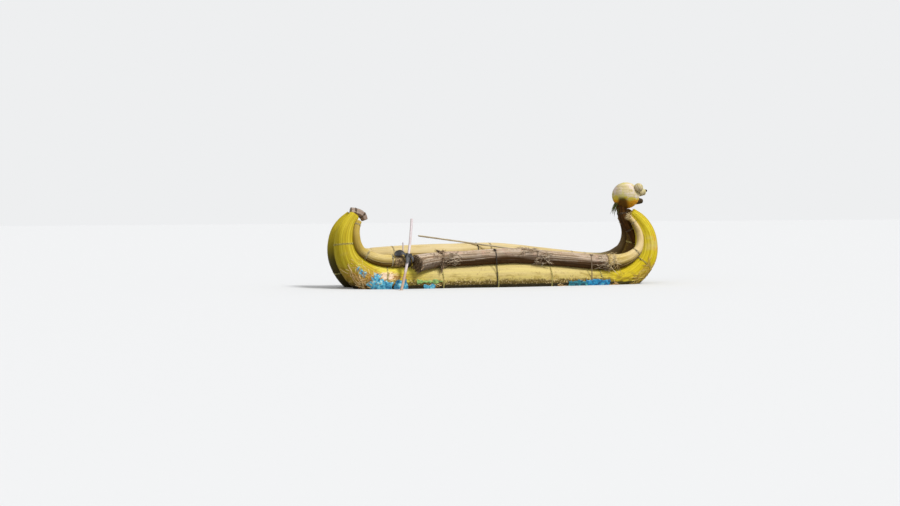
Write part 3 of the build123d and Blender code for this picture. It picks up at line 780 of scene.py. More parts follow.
def floor_mat(reeds, rings):
    """Slab with a ribbed top: its rings of points and their distances."""
    s = np.linspace(at_x(-2.350), at_x(2.500), rings)
    top = mat_top(s)
    left = rail_inner(s, PORT, top) - MAT_CLEARANCE
    right = MAT_CLEARANCE - rail_inner(s, STARBOARD, top)
    run = distances(np.stack([column(0, s), 0 * s, top], 1))
    frequency, phase = waves(reeds, 41, 2.0, 7.0)
    share = (np.arange(reeds)[:, None] + 0.5 + np.sin(run * frequency[0] + phase[0]) * 0.10) / reeds
    sag = -0.0015 + 0.0015 * np.sin(run * frequency[1] + phase[1])
    columns = [(0 * s, 0 * s - MAT_THICKNESS)]
    for j in range(reeds):
        for offset, rise in ((-0.48, -0.0045), (-0.16, 0.0), (0.16, 0.0)):
            columns.append((np.clip(share[j] + offset / reeds, 0, 1), sag[j] + rise + 0.001))
    columns.append((0 * s + 1, 0 * s - MAT_THICKNESS))
    points = np.stack([np.stack([column(0, s), right + (left - right) * place, top + rise], 1)
                       for place, rise in columns[::-1]], 1)
    return points, run


core_path = in_groove(np.linspace(0.420, at_x(2.900), 60), CORE_RADIUS)
bundle("reeds_core", "core_bundle", inner_reed, "inner_reed", core_path, CORE_RADIUS, CORE_STRANDS, 40,
       cap_in=0.010)
placed(skin("floor_mat_reeds", *floor_mat(MAT_REEDS, 80), inner_reed), "inner_reed", "floor_mat")

seat_paths = {}
for seed, (word, x) in enumerate(SEATS.items(), 50):
    s = np.array([at_x(x)])
    left = rail_inner(s, PORT)[0] - SEAT_CLEARANCE
    right = SEAT_CLEARANCE - rail_inner(s, STARBOARD)[0]
    height = mat_top(s)[0] + SEAT_RADIUS - PRESS
    path = np.array([(x, y, height) for y in np.linspace(right, left, 20)])
    bundle("reeds_seat_" + word, "seat_bundle_" + word, inner_reed, "inner_reed", path, SEAT_RADIUS,
           SEAT_STRANDS, seed, cap_in=0.008, cinches=(SEAT_BAND_INSET, left - right - SEAT_BAND_INSET),
           cinch=0.05, cinch_width=0.03, reference=(1, 0, 0), lump=0.006)
    seat_paths[word] = path

# %% [markdown]
# At the bow a dark neck bundle rises out of the groove and carries the head. At the stern a short
# bundle caps the two tips and bends forward and down. Both follow a few points, and a smooth curve
# through the points gives the rings between them.

# %% Neck and stern cap
HEAD_CENTRE = np.array([3.055, 0.0, 1.925])
HEAD_RADIUS = 0.304
HEAD_HALF_HEIGHT = 0.290
NECK_RADIUS = 0.108
NECK_SHARES = (0.6, 0.85, 1, 1.06, 1.10)
NECK_STRANDS = 34
NECK_RINGS = 34
CAP_STRANDS = 24
CAP_RINGS = 22
CAP_BAND_PLACES = (0.10, 0.27)
CAP_RADIUS = 0.082
CAP_REACH = 0.305
CAP_DROP = 0.190


def through(points, count):
    """Smooth path through points, with count rings evenly spread."""
    points = np.asarray(points, float)
    keys = distances(points)
    slopes = np.gradient(points, keys, axis=0)
    places = np.linspace(0, keys[-1], count)
    k = np.clip(np.searchsorted(keys, places, side="right") - 1, 0, len(keys) - 2)
    width = (keys[k + 1] - keys[k])[:, None]
    t = (places - keys[k])[:, None] / width
    return ((1 + 2 * t) * (1 - t) ** 2 * points[k] + t * (1 - t) ** 2 * width * slopes[k]
            + t ** 2 * (3 - 2 * t) * points[k + 1] + t ** 2 * (t - 1) * width * slopes[k + 1])


def last_below(height):
    places = np.linspace(0, AXIS_LENGTH, 400)
    return places[np.nonzero(column(1, places) < height)[0][-1]]


foot, nape = last_below(0.900), last_below(1.380)
low, middle, high = (in_groove(place, NECK_RADIUS * share)[0]
                     for place, share in zip((foot, (foot + nape) / 2, nape), NECK_SHARES))
top = HEAD_CENTRE + (-0.105, 0, 0.070 - HEAD_HALF_HEIGHT)
bend = (high + top) / 2 + (-0.040, 0, 0)
neck_path = through([low, middle, high, bend, top], NECK_RINGS)
neck_radii = NECK_RADIUS * np.interp(np.linspace(0, 1, NECK_RINGS), np.linspace(0, 1, 5), NECK_SHARES)
bundle("reeds_neck", "neck_bundle", neck_reed, "neck_reed", neck_path, neck_radii, NECK_STRANDS, 60,
       lump=0.01)

seat = (np.array([column(0, 0)[0], 0, column(1, 0)[0]]) - inward(0)[0] * 0.092
        - heading(0)[0] * (CAP_RADIUS - 0.048))
cap_path = through([seat + (reach * CAP_REACH, 0, -drop * CAP_DROP) for reach, drop in
                    ((0, 0), (0.28, 0.06), (0.62, 0.22), (0.88, 0.54), (1.0, 1.0))], CAP_RINGS)
cap_radii = CAP_RADIUS * np.interp(np.linspace(0, 1, CAP_RINGS), (0, 0.75, 1), (1, 1, 0.85))
bundle("reeds_stern_cap", "stern_tip_bundle", tip_reed, "tip_reed", cap_path, cap_radii, CAP_STRANDS, 61,
       cap_in=0.008, cinches=CAP_BAND_PLACES, cinch=0.05, cinch_width=0.03)

# %% [markdown]
# Reed ends, ropes and loose stems repeat hundreds of times, so Geometry Nodes make them. A tree is
# built once, with named inputs. It then runs on a carrier, a mesh of bare points, edges or faces, and
# what comes out is kept as a plain mesh, because nothing that is still an instance is exported.

# %% Geometry Nodes: trees and carriers
def geometry_tree(name, inputs):
    """Node tree with a geometry input, the named inputs and a geometry output."""
    tree = bpy.data.node_groups.new(name, "GeometryNodeTree")
    for label, kind, default in [("Geometry", "Geometry", None), *inputs, ("Material", "Material", None)]:
        socket = tree.interface.new_socket(label, in_out="INPUT", socket_type="NodeSocket" + kind)
        if default is not None:
            socket.default_value = default
    tree.interface.new_socket("Geometry", in_out="OUTPUT", socket_type="NodeSocketGeometry")
    return tree, tree.nodes.new("NodeGroupInput").outputs


def finish_tree(tree, given, geometry):
    """Ends a tree in Realize Instances and Set Material."""
    real = node(tree, "GeometryNodeRealizeInstances", {0: geometry})
    painted = node(tree, "GeometryNodeSetMaterial",
                   {"Geometry": real.outputs[0], "Material": given["Material"]})
    node(tree, "NodeGroupOutput", {0: painted.outputs[0]})


def random_value(tree, low, high, seed, kind="FLOAT"):
    first, last, output = (2, 3, 1) if kind == "FLOAT" else (0, 1, 0)
    made = node(tree, "FunctionNodeRandomValue", {first: low, last: high, "Seed": seed}, data_type=kind)
    return made.outputs[output]


def stored(geometry, name, value, domain):
    """Geometry that keeps a value under a name."""
    return node(geometry.id_data, "GeometryNodeStoreNamedAttribute",
                {"Geometry": geometry, "Name": name, "Value": value}, data_type="FLOAT",
                domain=domain).outputs[0]


def grown(name, tree, points, edges, faces, material, **values):
    """Runs a tree on lists of points joined by edges or faces, and returns a plain mesh piece."""
    mesh = bpy.data.meshes.new("carrier")
    mesh.from_pydata(np.vstack(points).tolist(), edges, faces)
    carrier = add_object("carrier", mesh)
    modifier = carrier.modifiers.new(tree.name, "NODES")
    modifier.node_group = tree
    values = {"Material": material, **{key.replace("_", " ").title(): v for key, v in values.items()}}
    for item in tree.interface.items_tree:
        if item.item_type == "SOCKET" and item.in_out == "INPUT" and item.name in values:
            modifier[item.identifier] = values[item.name]
    carrier.update_tag()
    mesh = bpy.data.meshes.new_from_object(carrier.evaluated_get(bpy.context.evaluated_depsgraph_get()))
    mesh.shade_smooth()
    bpy.data.objects.remove(carrier)
    return add_object(name, mesh)


print("every tree ends in Realize Instances and Set Material")

# %% [markdown]
# Where a bundle is cut, one looks into the ends of its reeds. The first tree scatters short six-sided
# stalks over a disc that lies in the cut, each with its own height and tilt, which no bump could
# show from the side. Each stalk keeps a random tone for its straw finish.

# %% Geometry Nodes: reed ends
ends_tree, given = geometry_tree("reed_ends", [
    ("Spacing", "Float", 0.016), ("Reed Radius", "Float", 0.0085), ("Length", "Float", 0.030),
    ("Unevenness", "Float", 0.5), ("Seed", "Int", 1)])
tree = ends_tree
scattered = node(tree, "GeometryNodeDistributePointsOnFaces",
                 {"Mesh": given["Geometry"], "Distance Min": given["Spacing"], "Density Max": 9000.0,
                  "Seed": given["Seed"]}, distribute_method="POISSON")
stalk = node(tree, "GeometryNodeMeshCylinder", {"Vertices": 6, "Side Segments": 1, "Fill Segments": 1,
                                                "Radius": given["Reed Radius"], "Depth": given["Length"]})
tilt = random_value(tree, (-0.12, -0.12, 0), (0.12, 0.12, 3), 5, "FLOAT_VECTOR")
leaning = node(tree, "FunctionNodeEulerToRotation", {0: tilt}).outputs[0]
turned = node(tree, "FunctionNodeRotateRotation", {0: scattered.outputs["Rotation"], 1: leaning},
              rotation_space="LOCAL")
shortest = maths("SUBTRACT", 1.0, given["Unevenness"])
sizes = vector(random_value(tree, 0.75, 1.1, 6), random_value(tree, 0.75, 1.1, 6),
               random_value(tree, shortest, 1.0, 7))
stalks = node(tree, "GeometryNodeInstanceOnPoints",
              {"Points": scattered.outputs["Points"], "Instance": stalk.outputs["Mesh"],
               "Rotation": turned.outputs[0], "Scale": sizes})
finish_tree(tree, given, stored(stalks.outputs[0], "tone", random_value(tree, 0.0, 1.0, 8), "INSTANCE"))


def straw(name, dark, middle, pale):
    """Straw whose tone is a random number kept with each stalk."""
    material, tree = new_material(name)
    tone = node(tree, "ShaderNodeAttribute", attribute_name="tone").outputs["Fac"]
    grain = cloud(object_place(tree), 90.0, 3.0)
    colour = ramp(maths("MULTIPLY_ADD", grain, 0.3, times(tone, 0.85)), dark, middle, pale)
    return finished(material, colour, maths("MULTIPLY_ADD", grain, 0.3, 0.45), grain, 0.3, 0.001, 0.3)


pale_straw = straw("pale_straw", (146, 118, 70), (216, 190, 136), (244, 226, 184))
grey_straw = straw("grey_straw", (92, 70, 46), (176, 152, 122), (216, 200, 176))
cut_straw = straw("cut_straw", (44, 30, 16), (112, 88, 60), (170, 146, 116))
gold_straw = straw("gold_straw", (120, 84, 22), (192, 156, 58), (222, 198, 110))
print(ends_tree.name, "has", len(ends_tree.nodes), "nodes")

# %% [markdown]
# The cut discs are laid square to each bundle's end, a little inside it, and gathered by finish, so
# that each finish is one piece.

# %% Reed ends on every cut
DISC_CORNERS = 28


def end_and_out(path, at_start, step):
    """A path's end, and the direction that leaves it there."""
    end, inner = (path[0], path[step]) if at_start else (path[-1], path[-1 - step])
    return end, unit(end - inner)


def disc(path, radius, at_start, inset=0.012):
    """Rim and centre of a disc across the end of a path, facing out of it."""
    end, out = end_and_out(path, at_start, 1)
    side = unit(np.cross(out, (0, 0, 1) if abs(out[2]) < 0.9 else (1, 0, 0)))
    angles = 2 * math.pi * np.arange(DISC_CORNERS)[:, None] / DISC_CORNERS
    centre = end - out * inset
    rim = np.cos(angles) * side + np.sin(angles) * np.cross(out, side)
    return np.vstack([centre + radius * rim, centre])


def cut_ends(name, ends, material, slot_name, **values):
    faces = []
    for number in range(len(ends)):
        first = number * (DISC_CORNERS + 1)
        faces += [(first + i, first + (i + 1) % DISC_CORNERS, first + DISC_CORNERS)
                  for i in range(DISC_CORNERS)]
    placed(grown(name, ends_tree, [disc(*end) for end in ends], [], faces, material, **values), slot_name)


hull_lines = [hull_centre(np.linspace(0, AXIS_LENGTH, 400), side) for side, _ in SIDES]
cut_ends("reed_ends_hull", [end for line in hull_lines
                            for end in ((line, 0.094, True, 0.004), (line, 0.114, False, 0.004))],
         gold_straw, "hull_reed", length=0.026, seed=3)
cut_ends("reed_ends_gunwales",
         [(rails["port"], 0.050, True, 0.004), (rails["port"], 0.048, False, 0.004),
          (rails["stern"], 0.050, True, 0.004), (rails["stern"], 0.118, False, 0.006),
          (rails["bow"], 0.152, True, 0.006)], pale_straw, "gunwale_reed", length=0.022, seed=4)
cut_ends("reed_ends_repairs", [(path, radii[0 if start else -1] - 0.014, start, 0.006)
                               for path, radii in repairs.values() for start in (True, False)],
         cut_straw, "weathered_reed", length=0.044, unevenness=0.75, seed=5)
cut_ends("reed_ends_inside", [(path, 0.080, start) for path in (core_path, *seat_paths.values())
                              for start in (True, False)], pale_straw, "inner_reed", length=0.030, seed=6)
cut_ends("reed_ends_cap", [(cap_path, 0.070, True), (cap_path, 0.060, False)], grey_straw, "tip_reed",
         length=0.028, seed=7)

# %% [markdown]
# The lashings are grass rope of three strands, wound three times round each bundle. A Geometry
# Nodes tree makes rope from any line: it divides the line evenly, twists it at a steady rate and
# sweeps a three-lobed outline along it. It also keeps how far along and how far round each point
# lies, which the rope's finish reads for its fibres.

# %% Geometry Nodes: twisted rope
rope_tree, given = geometry_tree("twisted_rope", [
    ("Rope Radius", "Float", 0.0055), ("Twist", "Float", 110.0), ("Spacing", "Float", 0.03),
    ("Lobes", "Float", 0.16)])
tree = rope_tree
line = node(tree, "GeometryNodeMeshToCurve", {"Mesh": given["Geometry"]})
even = node(tree, "GeometryNodeResampleCurve", {"Curve": line.outputs[0], "Length": given["Spacing"]},
            mode="LENGTH")
travelled = node(tree, "GeometryNodeSplineParameter").outputs["Length"]
tilted = node(tree, "GeometryNodeSetCurveTilt",
              {"Curve": even.outputs[0], "Tilt": times(travelled, given["Twist"])})
circle = node(tree, "GeometryNodeCurvePrimitiveCircle", {"Resolution": 9, "Radius": given["Rope Radius"]})
share = node(tree, "GeometryNodeSplineParameter").outputs["Factor"]
swell = maths("MULTIPLY_ADD", maths("COSINE", times(share, 6 * math.pi)), given["Lobes"], 1.0)
lobed = node(tree, "ShaderNodeVectorMath", {0: node(tree, "GeometryNodeInputPosition").outputs[0],
                                            "Scale": swell}, operation="SCALE")
outline = node(tree, "GeometryNodeSetPosition", {"Geometry": circle.outputs[0], "Position": lobed.outputs[0]})
swept = node(tree, "GeometryNodeCurveToMesh",
             {"Curve": stored(tilted.outputs[0], "along", travelled, "POINT"),
              "Profile Curve": stored(outline.outputs[0], "around", share, "POINT"), "Fill Caps": True})
finish_tree(tree, given, swept.outputs[0])


def twisted(name, dark, pale):
    """Twisted fibres that follow the rope's own along and around values."""
    material, tree = new_material(name)
    along, around = (node(tree, "ShaderNodeAttribute", attribute_name=word).outputs["Fac"]
                     for word in ("along", "around"))
    fibre = cloud(vector(times(around, 9.0), times(along, 60.0)), 1.0, 3.0)
    colour = mixed(fibre, srgb(*dark), srgb(*pale))
    colour = mixed(times(blotches(tree, 5.0, 0.4, 0.7, seed=5.0), 0.3), colour, srgb(*pale))
    return finished(material, colour, 0.85, fibre, 0.5, 0.001)


grass_rope = twisted("grass_rope", (234, 212, 100), (254, 244, 170))
cream_rope = twisted("cream_rope", (234, 210, 146), (254, 242, 200))
brown_rope = twisted("brown_rope", (96, 76, 54), (170, 148, 122))
black_rope = twisted("black_rope", (22, 18, 14), (74, 62, 48))
pale_string = twisted("pale_string", (216, 200, 150), (250, 242, 214))


def rope(name, paths, material, slot_name, *nodes, body="root", tree=rope_tree, **values):
    """Rope along each path, or what another tree makes of the paths, as one piece."""
    edges, count = [], 0
    for path in paths:
        edges += [(count + i, count + i + 1) for i in range(len(path) - 1)]
        count += len(path)
    print(name, len(paths), "lines,", round(sum(distances(path)[-1] for path in paths), 1), "m in all")
    placed(grown(name, tree, paths, edges, [], material, **values), slot_name, *nodes, body=body)


print(rope_tree.name, "has", len(rope_tree.nodes), "nodes")

# %% [markdown]
# A lashing is a short helix round the bundle with its ends tucked in, and a knot on the outboard
# side. The knot's line is a small trefoil, which reads as a tied lump at any distance.

# %% Lashings of the hull, the gunwales and the seats
ROPE_RADIUS = 0.0055
WINDING_TURNS = 3
WINDING_PITCH = 0.0115


def winding(centre, tangent, across, up, radius):
    """Helix round a bundle, both ends tucked under."""
    count = WINDING_TURNS * 40 + 1
    share = np.linspace(0, 1, count)
    angle = 2 * math.pi * WINDING_TURNS * share + 0.6
    tucked = np.exp(-share * count / 3) + np.exp(-(1 - share) * count / 3)
    reach = radius + ROPE_RADIUS * 0.55 - 0.012 * tucked
    offset = (share - 0.5) * WINDING_TURNS * WINDING_PITCH
    return (centre + offset[:, None] * tangent + (reach * np.cos(angle))[:, None] * up
            + (reach * np.sin(angle))[:, None] * across)


def knot(centre, normal, size=0.009):
    """Small trefoil lying on a surface."""
    t = np.linspace(0, 2 * math.pi, 40)[:, None]
    first = unit(np.cross(normal, (1, 0, 0.2)))
    flat = ((np.sin(t) + 2 * np.sin(2 * t)) * first
            + (np.cos(t) - 2 * np.cos(2 * t)) * np.cross(normal, first))
    return centre + size * flat + (0.006 - 0.006 * np.sin(3 * t)) * normal


def lashings(path, radii, places, side, reference=(0, 1, 0)):
    """Windings and knots at distances along a path."""
    run = distances(path)
    tangent, across, up = ring_frames(path, reference)
    lines = []
    for place in places:
        k = int(np.argmin(np.abs(run - place)))
        radius = float(np.interp(place, run, radii))
        normal = across[k] * side * math.cos(0.5) + up[k] * math.sin(0.5)
        lines += [winding(path[k], tangent[k], across[k], up[k], radius),
                  knot(path[k] + normal * (radius + 0.004), normal)]
    return lines


def rail_lashings(places, side, share=0.985):
    path = rail_centre(fine, side)
    return lashings(path, rail_radius(fine, side) * share, np.interp(places, fine, distances(path)), side)


fine = np.linspace(0, AXIS_LENGTH, 2400)
for side, word in SIDES:
    rope("lashings_hull_" + word,
         lashings(hull_centre(fine, side), hull_radius(fine) * 0.993, hull_band_places(side), side),
         grass_rope, "reed_rope", "hull_bands_" + word)
for side, word, places in ((PORT, "port", PORT_BAND_PLACES),
                           (STARBOARD, "starboard", np.append(STERN_BAND_PLACES, BOW_BAND_PLACES))):
    rope("lashings_gunwale_" + word, rail_lashings(places, side), cream_rope, "reed_rope",
         "gunwale_bands_" + word)
rope("lashings_seats",
     [line for path in seat_paths.values()
      for line in lashings(path, np.full(len(path), SEAT_RADIUS * 0.96),
                           (SEAT_BAND_INSET, distances(path)[-1] - SEAT_BAND_INSET), 1, (1, 0, 0))],
     grass_rope, "reed_rope")
rope("lashings_neck_and_cap",
     lashings(neck_path, neck_radii, (distances(neck_path)[-1] - 0.16, 0.32), STARBOARD)
     + lashings(cap_path, cap_radii * 0.97, CAP_BAND_PLACES, STARBOARD), brown_rope, "reed_rope")

# %% [markdown]
# Two dark girth ropes a side are drawn round a main bundle and the bundle on top of it. Seen along
# the boat such a rope takes the shortest way round two circles, so its line is found from them:
# in every direction the circle that reaches further carries the rope.

# %% Girth ropes
GIRTHS = {
    # X, the repair bundle that it holds, finish
    "middle": (-0.260, REPAIRS["middle"], black_rope),
    "fore": (1.960, REPAIRS["fore"], brown_rope),
}
GIRTH_RADIUS = 0.0058
GIRTH_PHASE = 2.2


def belt(low, low_radius, high, high_radius, x):
    """Shortest line round two circles that stand at x, low one raised to clear the ground."""
    angle = np.linspace(0, 2 * math.pi, 161) + GIRTH_PHASE
    way = np.stack([0 * angle, np.cos(angle), np.sin(angle)], 1)
    low = low + (0, 0, 0.006)
    lower = way @ low + low_radius > way @ high + high_radius
    line = np.where(lower[:, None], low + way * low_radius, high + way * high_radius)
    line[:, 0] = x + 0.0015 * np.sin(3 * angle + GIRTH_PHASE)
    return line


def girth(side, x, row):
    """Two turns and a knot at x."""
    s = np.array([at_x(x)])
    low = hull_centre(s, side)[0]
    if side == STARBOARD:
        aft, fore, aft_radius, fore_radius, aft_lean, fore_lean, _ = row
        share = (s[0] - at_x(aft)) / (at_x(fore) - at_x(aft))
        radius = aft_radius + (fore_radius - aft_radius) * share
        high = on_hull(s, side, radius, aft_lean + (fore_lean - aft_lean) * share)[0]
    else:
        radius = rail_radius(s, side)[0]
        high = rail_centre(s, side)[0]
    outward = np.array([0, side * 0.6, 0.8])
    turns = [belt(low, hull_radius(s)[0] + 0.001, high, radius + 0.001, low[0] + offset)
             for offset in (-0.0065, 0.0065)]
    return turns + [knot(high + outward * (radius + 0.006), outward, 0.012)]


for side, prefix in ((STARBOARD, "girth_rope_"), (PORT, "girth_rope_port_")):
    for word, (x, row, material) in GIRTHS.items():
        rope(prefix + word + "_twisted", girth(side, x, row), material, "dark_rope", prefix + word,
             rope_radius=GIRTH_RADIUS, twist=95.0, spacing=0.02)

# %% [markdown]
# The head is a ball wound from one long reed rope, with wound balls for ears, a wound muzzle and
# jaw. A coil over a round form is a spiral: going once round it moves up by one rope's width. The
# builder below makes any such coil from the form's side outline, with a groove between the turns.

# %% Wound forms
GROOVE_SHARE = 0.28


def coil(name, node_name, foot, direction, outline, pitch, material, slot_name, columns, seed):
    """Coil over a turned form. outline gives (distance along the axis, radius) from foot to tip."""
    outline = np.asarray(outline, float)
    keys = distances(outline)
    turns = max(3, round(keys[-1] / pitch))
    axis = unit(direction)
    side = unit(np.cross(axis, (0, 1, 0) if abs(axis[1]) < 0.9 else (1, 0, 0)))
    other = np.cross(axis, side)
    rows = 3 * (turns + 1) + 1
    width = columns + 1
    i, j = np.meshgrid(np.arange(rows), np.arange(width), indexing="ij")
    angle = 2 * math.pi * j / columns
    place = np.clip((i / 3 + j / columns - 1) / turns, 0, 1) * keys[-1]
    step = keys[-1] * 0.002
    (along, slope_along), (radius, slope_out) = (
        (np.interp(place, keys, values),
         np.interp(place + step, keys, values) - np.interp(place - step, keys, values))
        for values in outline.T)
    length = np.hypot(slope_along, slope_out) + 1e-9
    phases = np.random.default_rng(seed).uniform(0, 2 * math.pi, 4)
    ripple = 0.12 * np.sin(angle * 3 + phases[0] + i * 0.9) + 0.10 * np.sin(angle * 7 + phases[1] - i * 1.7)
    sink = pitch * GROOVE_SHARE * np.where(i % 3 == 0, 1.0, 0.12 + ripple)
    sink *= np.clip(np.minimum(place, keys[-1] - place) / pitch, 0, 1)
    along = along + sink * slope_out / length
    radius = np.maximum(radius - sink * slope_along / length, 0)
    ring = np.cos(angle)[..., None] * side + np.sin(angle)[..., None] * other
    points = np.asarray(foot, float) + along[..., None] * axis + radius[..., None] * ring
    a, b = np.divmod(np.arange((rows - 1) * columns), columns)
    faces = np.stack([a * width + b, a * width + b + 1, (a + 1) * width + b + 1, (a + 1) * width + b], 1)
    u = i / 3 / turns
    v = (i / 3 + j / columns) * 2 * math.pi * outline[:, 1].max() * 0.7
    loops = np.stack([np.stack([u[a, b], u[a, b + 1], u[a + 1, b + 1], u[a + 1, b]], 1),
                      np.stack([v[a, b], v[a, b + 1], v[a, b + 1], v[a, b]], 1)], 2)
    made = make_object(name, points.reshape(-1, 3), faces.tolist(), material, loops)
    shell = bmesh.new()
    shell.from_mesh(made.data)
    bmesh.ops.remove_doubles(shell, verts=shell.verts, dist=0.0002)
    bmesh.ops.recalc_face_normals(shell, faces=shell.faces)
    shell.to_mesh(made.data)
    shell.free()
    made.data.shade_smooth()
    placed(made, slot_name, node_name)


def oval(radius, half_height, count):
    """Side outline of a ball standing on its axis."""
    turn = np.linspace(0, math.pi, count)
    return np.stack([-half_height * np.cos(turn), radius * np.sin(turn)], 1)


def blunt(length, foot_radius, tip_radius):
    """Side outline of a snout: open foot, sides that taper, rounded tip."""
    bend = tip_radius * 0.55
    sides = [(0.0, 0.0), (0.0, foot_radius * 0.6), (0.004, foot_radius)]
    sides += [((length - bend) * share, foot_radius + (tip_radius - foot_radius) * share ** 2)
              for share in np.linspace(0.15, 1, 6)]
    sides += [(length - bend + bend * math.sin(turn), tip_radius - bend + bend * math.cos(turn))
              for turn in np.linspace(0.2, math.pi / 2, 8)]
    return sides + [(length, 0.0)]


print("grooves between turns are", GROOVE_SHARE, "of a turn deep")

# %% [markdown]
# The head's reeds are bleached pinkish grey where sun and rain fall on them, still yellow green
# lower down, and orange where the underside stays damp. Over the neck the ball is darkened with
# painted shade. The lower tones go by height on the ball, broken up by blotches so that no edge is
# straight, and the painted shade by X too.
# The ball comes first, then each smaller form is set on its surface by a turn and a lift from the
# centre.

# %% Head, ears, eyes, muzzle, nose and jaw
HEAD_PITCH = 0.024
EAR_RADIUS = 0.102
EAR_SPREAD = 49
EAR_LIFT = 29
MUZZLE_RADIUS = 0.105
MUZZLE_TIP_RADIUS = 0.072
MUZZLE_LENGTH = 0.175
JAW_RADIUS = 0.078
JAW_LENGTH = 0.130
EYE_RADIUS = 0.044
NOSE_RADIUS = 0.030
HEAD_SEED = 17.0


def head_stains_and_painted_shade(tree):
    x, _, z = split(object_place(tree))
    # Painted shade on the ball's lower back, over the neck.
    painted_shade_over_neck = times(ranged(maths("ADD", x, times(z, 0.55)), 4.02, 3.92), ranged(z, 1.92, 1.84),
                      ranged(x, 2.79, 2.84))
    return [
        (blotches(tree, 7.0, 0.48, 0.60, seed=HEAD_SEED), 0.6, (236, 220, 222)),
        (blotches(tree, 5.0, 0.47, 0.60, seed=HEAD_SEED + 3), 0.7, (218, 210, 112)),
        (height_band(tree, -1.0, 1.86, 0.03, 0.15, 7.0), 0.8, (226, 204, 46)),
        (height_band(tree, -1.0, 1.80, 0.05, 0.10, 9.0), 0.8, (240, 160, 0)),
        (painted_shade_over_neck, 0.9, (76, 48, 18)),
    ]


def on_head(turn, lift, out=0.0):
    """Point on the head, moved out along its direction from the centre, and that direction."""
    a, b = math.radians(turn), math.radians(lift)
    way = np.array([math.cos(b) * math.cos(a), math.cos(b) * math.sin(a), math.sin(b)])
    reach = 1 / math.hypot(math.hypot(way[0], way[1]) / HEAD_RADIUS, way[2] / HEAD_HALF_HEIGHT)
    return HEAD_CENTRE + way * (reach + out), way


dark_reed = plain_reed("dark_reed", (44, 34, 20), (78, 62, 38), (116, 98, 66), 8, 31.0, 0.3, (40, 32, 22),
                       0.4)
ear_reed = plain_reed("ear_reed", (150, 134, 76), (210, 192, 146), (238, 220, 190), 12, 33.0, 0.65,
                      (184, 176, 62), 0.4)
muzzle_reed = plain_reed("muzzle_reed", (164, 146, 84), (222, 206, 156), (242, 228, 206), 12, 35.0, 0.5,
                         (206, 200, 92), 0.4)
ball = oval(HEAD_RADIUS, HEAD_HALF_HEIGHT, 60)
head_reed = reed("head_reed", (184, 164, 108), (224, 206, 156), (244, 230, 196),
                 round(distances(ball)[-1] / HEAD_PITCH), 0.5, HEAD_SEED, head_stains_and_painted_shade, groove_shade=0.5,
                 roughness=0.7, bump=0.5)

coil("wound_head", "head_ball", HEAD_CENTRE, (0.05, 0, 1), ball, HEAD_PITCH, head_reed, "head_reed", 120,
     70)
for side, word in SIDES:
    centre, way = on_head(side * EAR_SPREAD, EAR_LIFT, EAR_RADIUS * 0.5)
    coil("wound_ear_" + word, "ear_" + word, centre, way, oval(EAR_RADIUS, EAR_RADIUS, 30), 0.020,
         ear_reed, "head_reed", 48, 71)
    centre, way = on_head(side * 24, 12)
    coil("wound_eye_" + word, "eye_" + word, centre - way * 0.020, way,
         blunt(0.034, EYE_RADIUS, EYE_RADIUS), 0.010, dark_reed, "dark_reed", 36, 72)
centre, _ = on_head(0, 14)
coil("wound_muzzle", "muzzle", centre - (MUZZLE_RADIUS * 0.8, 0, 0), (1, 0, 0),
     blunt(MUZZLE_LENGTH + MUZZLE_RADIUS * 0.8, MUZZLE_RADIUS, MUZZLE_TIP_RADIUS), 0.019, muzzle_reed,
     "head_reed", 56, 73)
coil("wound_nose", "nose", centre + (MUZZLE_LENGTH + NOSE_RADIUS * 0.5, 0, 0.030), (1, 0, 0.4),
     oval(NOSE_RADIUS, NOSE_RADIUS, 20), 0.011, dark_reed, "dark_reed", 30, 74)
# The jaw is wound in the dark reed: painted shade, as the jaw sits in shade under the muzzle.
centre, _ = on_head(0, -24)
coil("wound_jaw", "jaw", centre - (JAW_RADIUS * 0.8, 0, 0), (1, 0, 0),
     blunt(JAW_LENGTH + JAW_RADIUS * 0.8, JAW_RADIUS, JAW_RADIUS * 0.7), 0.017, dark_reed, "dark_reed",
     48, 75)

# %% [markdown]
# The oar is a bent natural pole, bleached nearly white, with a board for a blade. Its shaft keeps
# the CAD line, because that line is what clears the loop and the peg, but its thickness swells and
# shrinks a little, and two old branch knots stand out of it. The peg and the loose pole are made
# by the same function, and their wood has its grain drawn out along the reed map.

# %% Bare wood and natural poles
def wood(name, dark, pale, stain):
    material, tree = new_material(name)
    turn, travelled, _ = split(node(tree, "ShaderNodeUVMap", uv_map="reed").outputs[0])
    grain = cloud(vector(times(turn, 9.0), times(travelled, 4.0)), 1.5, 6.0, 0.7)
    colour = mixed(ranged(grain, 0.35, 0.65), srgb(*dark), srgb(*pale))
    colour = mixed(times(blotches(tree, 6.0, 0.5, 0.68, seed=12.0), 0.45), colour, srgb(*stain))
    colour = mixed(times(height_band(tree, -1.0, 0.30, 0.14, 0.05, 12.0), 0.75), colour, srgb(178, 140, 98))
    return finished(material, colour, maths("MULTIPLY_ADD", grain, 0.3, 0.45), grain, 0.4, 0.002)


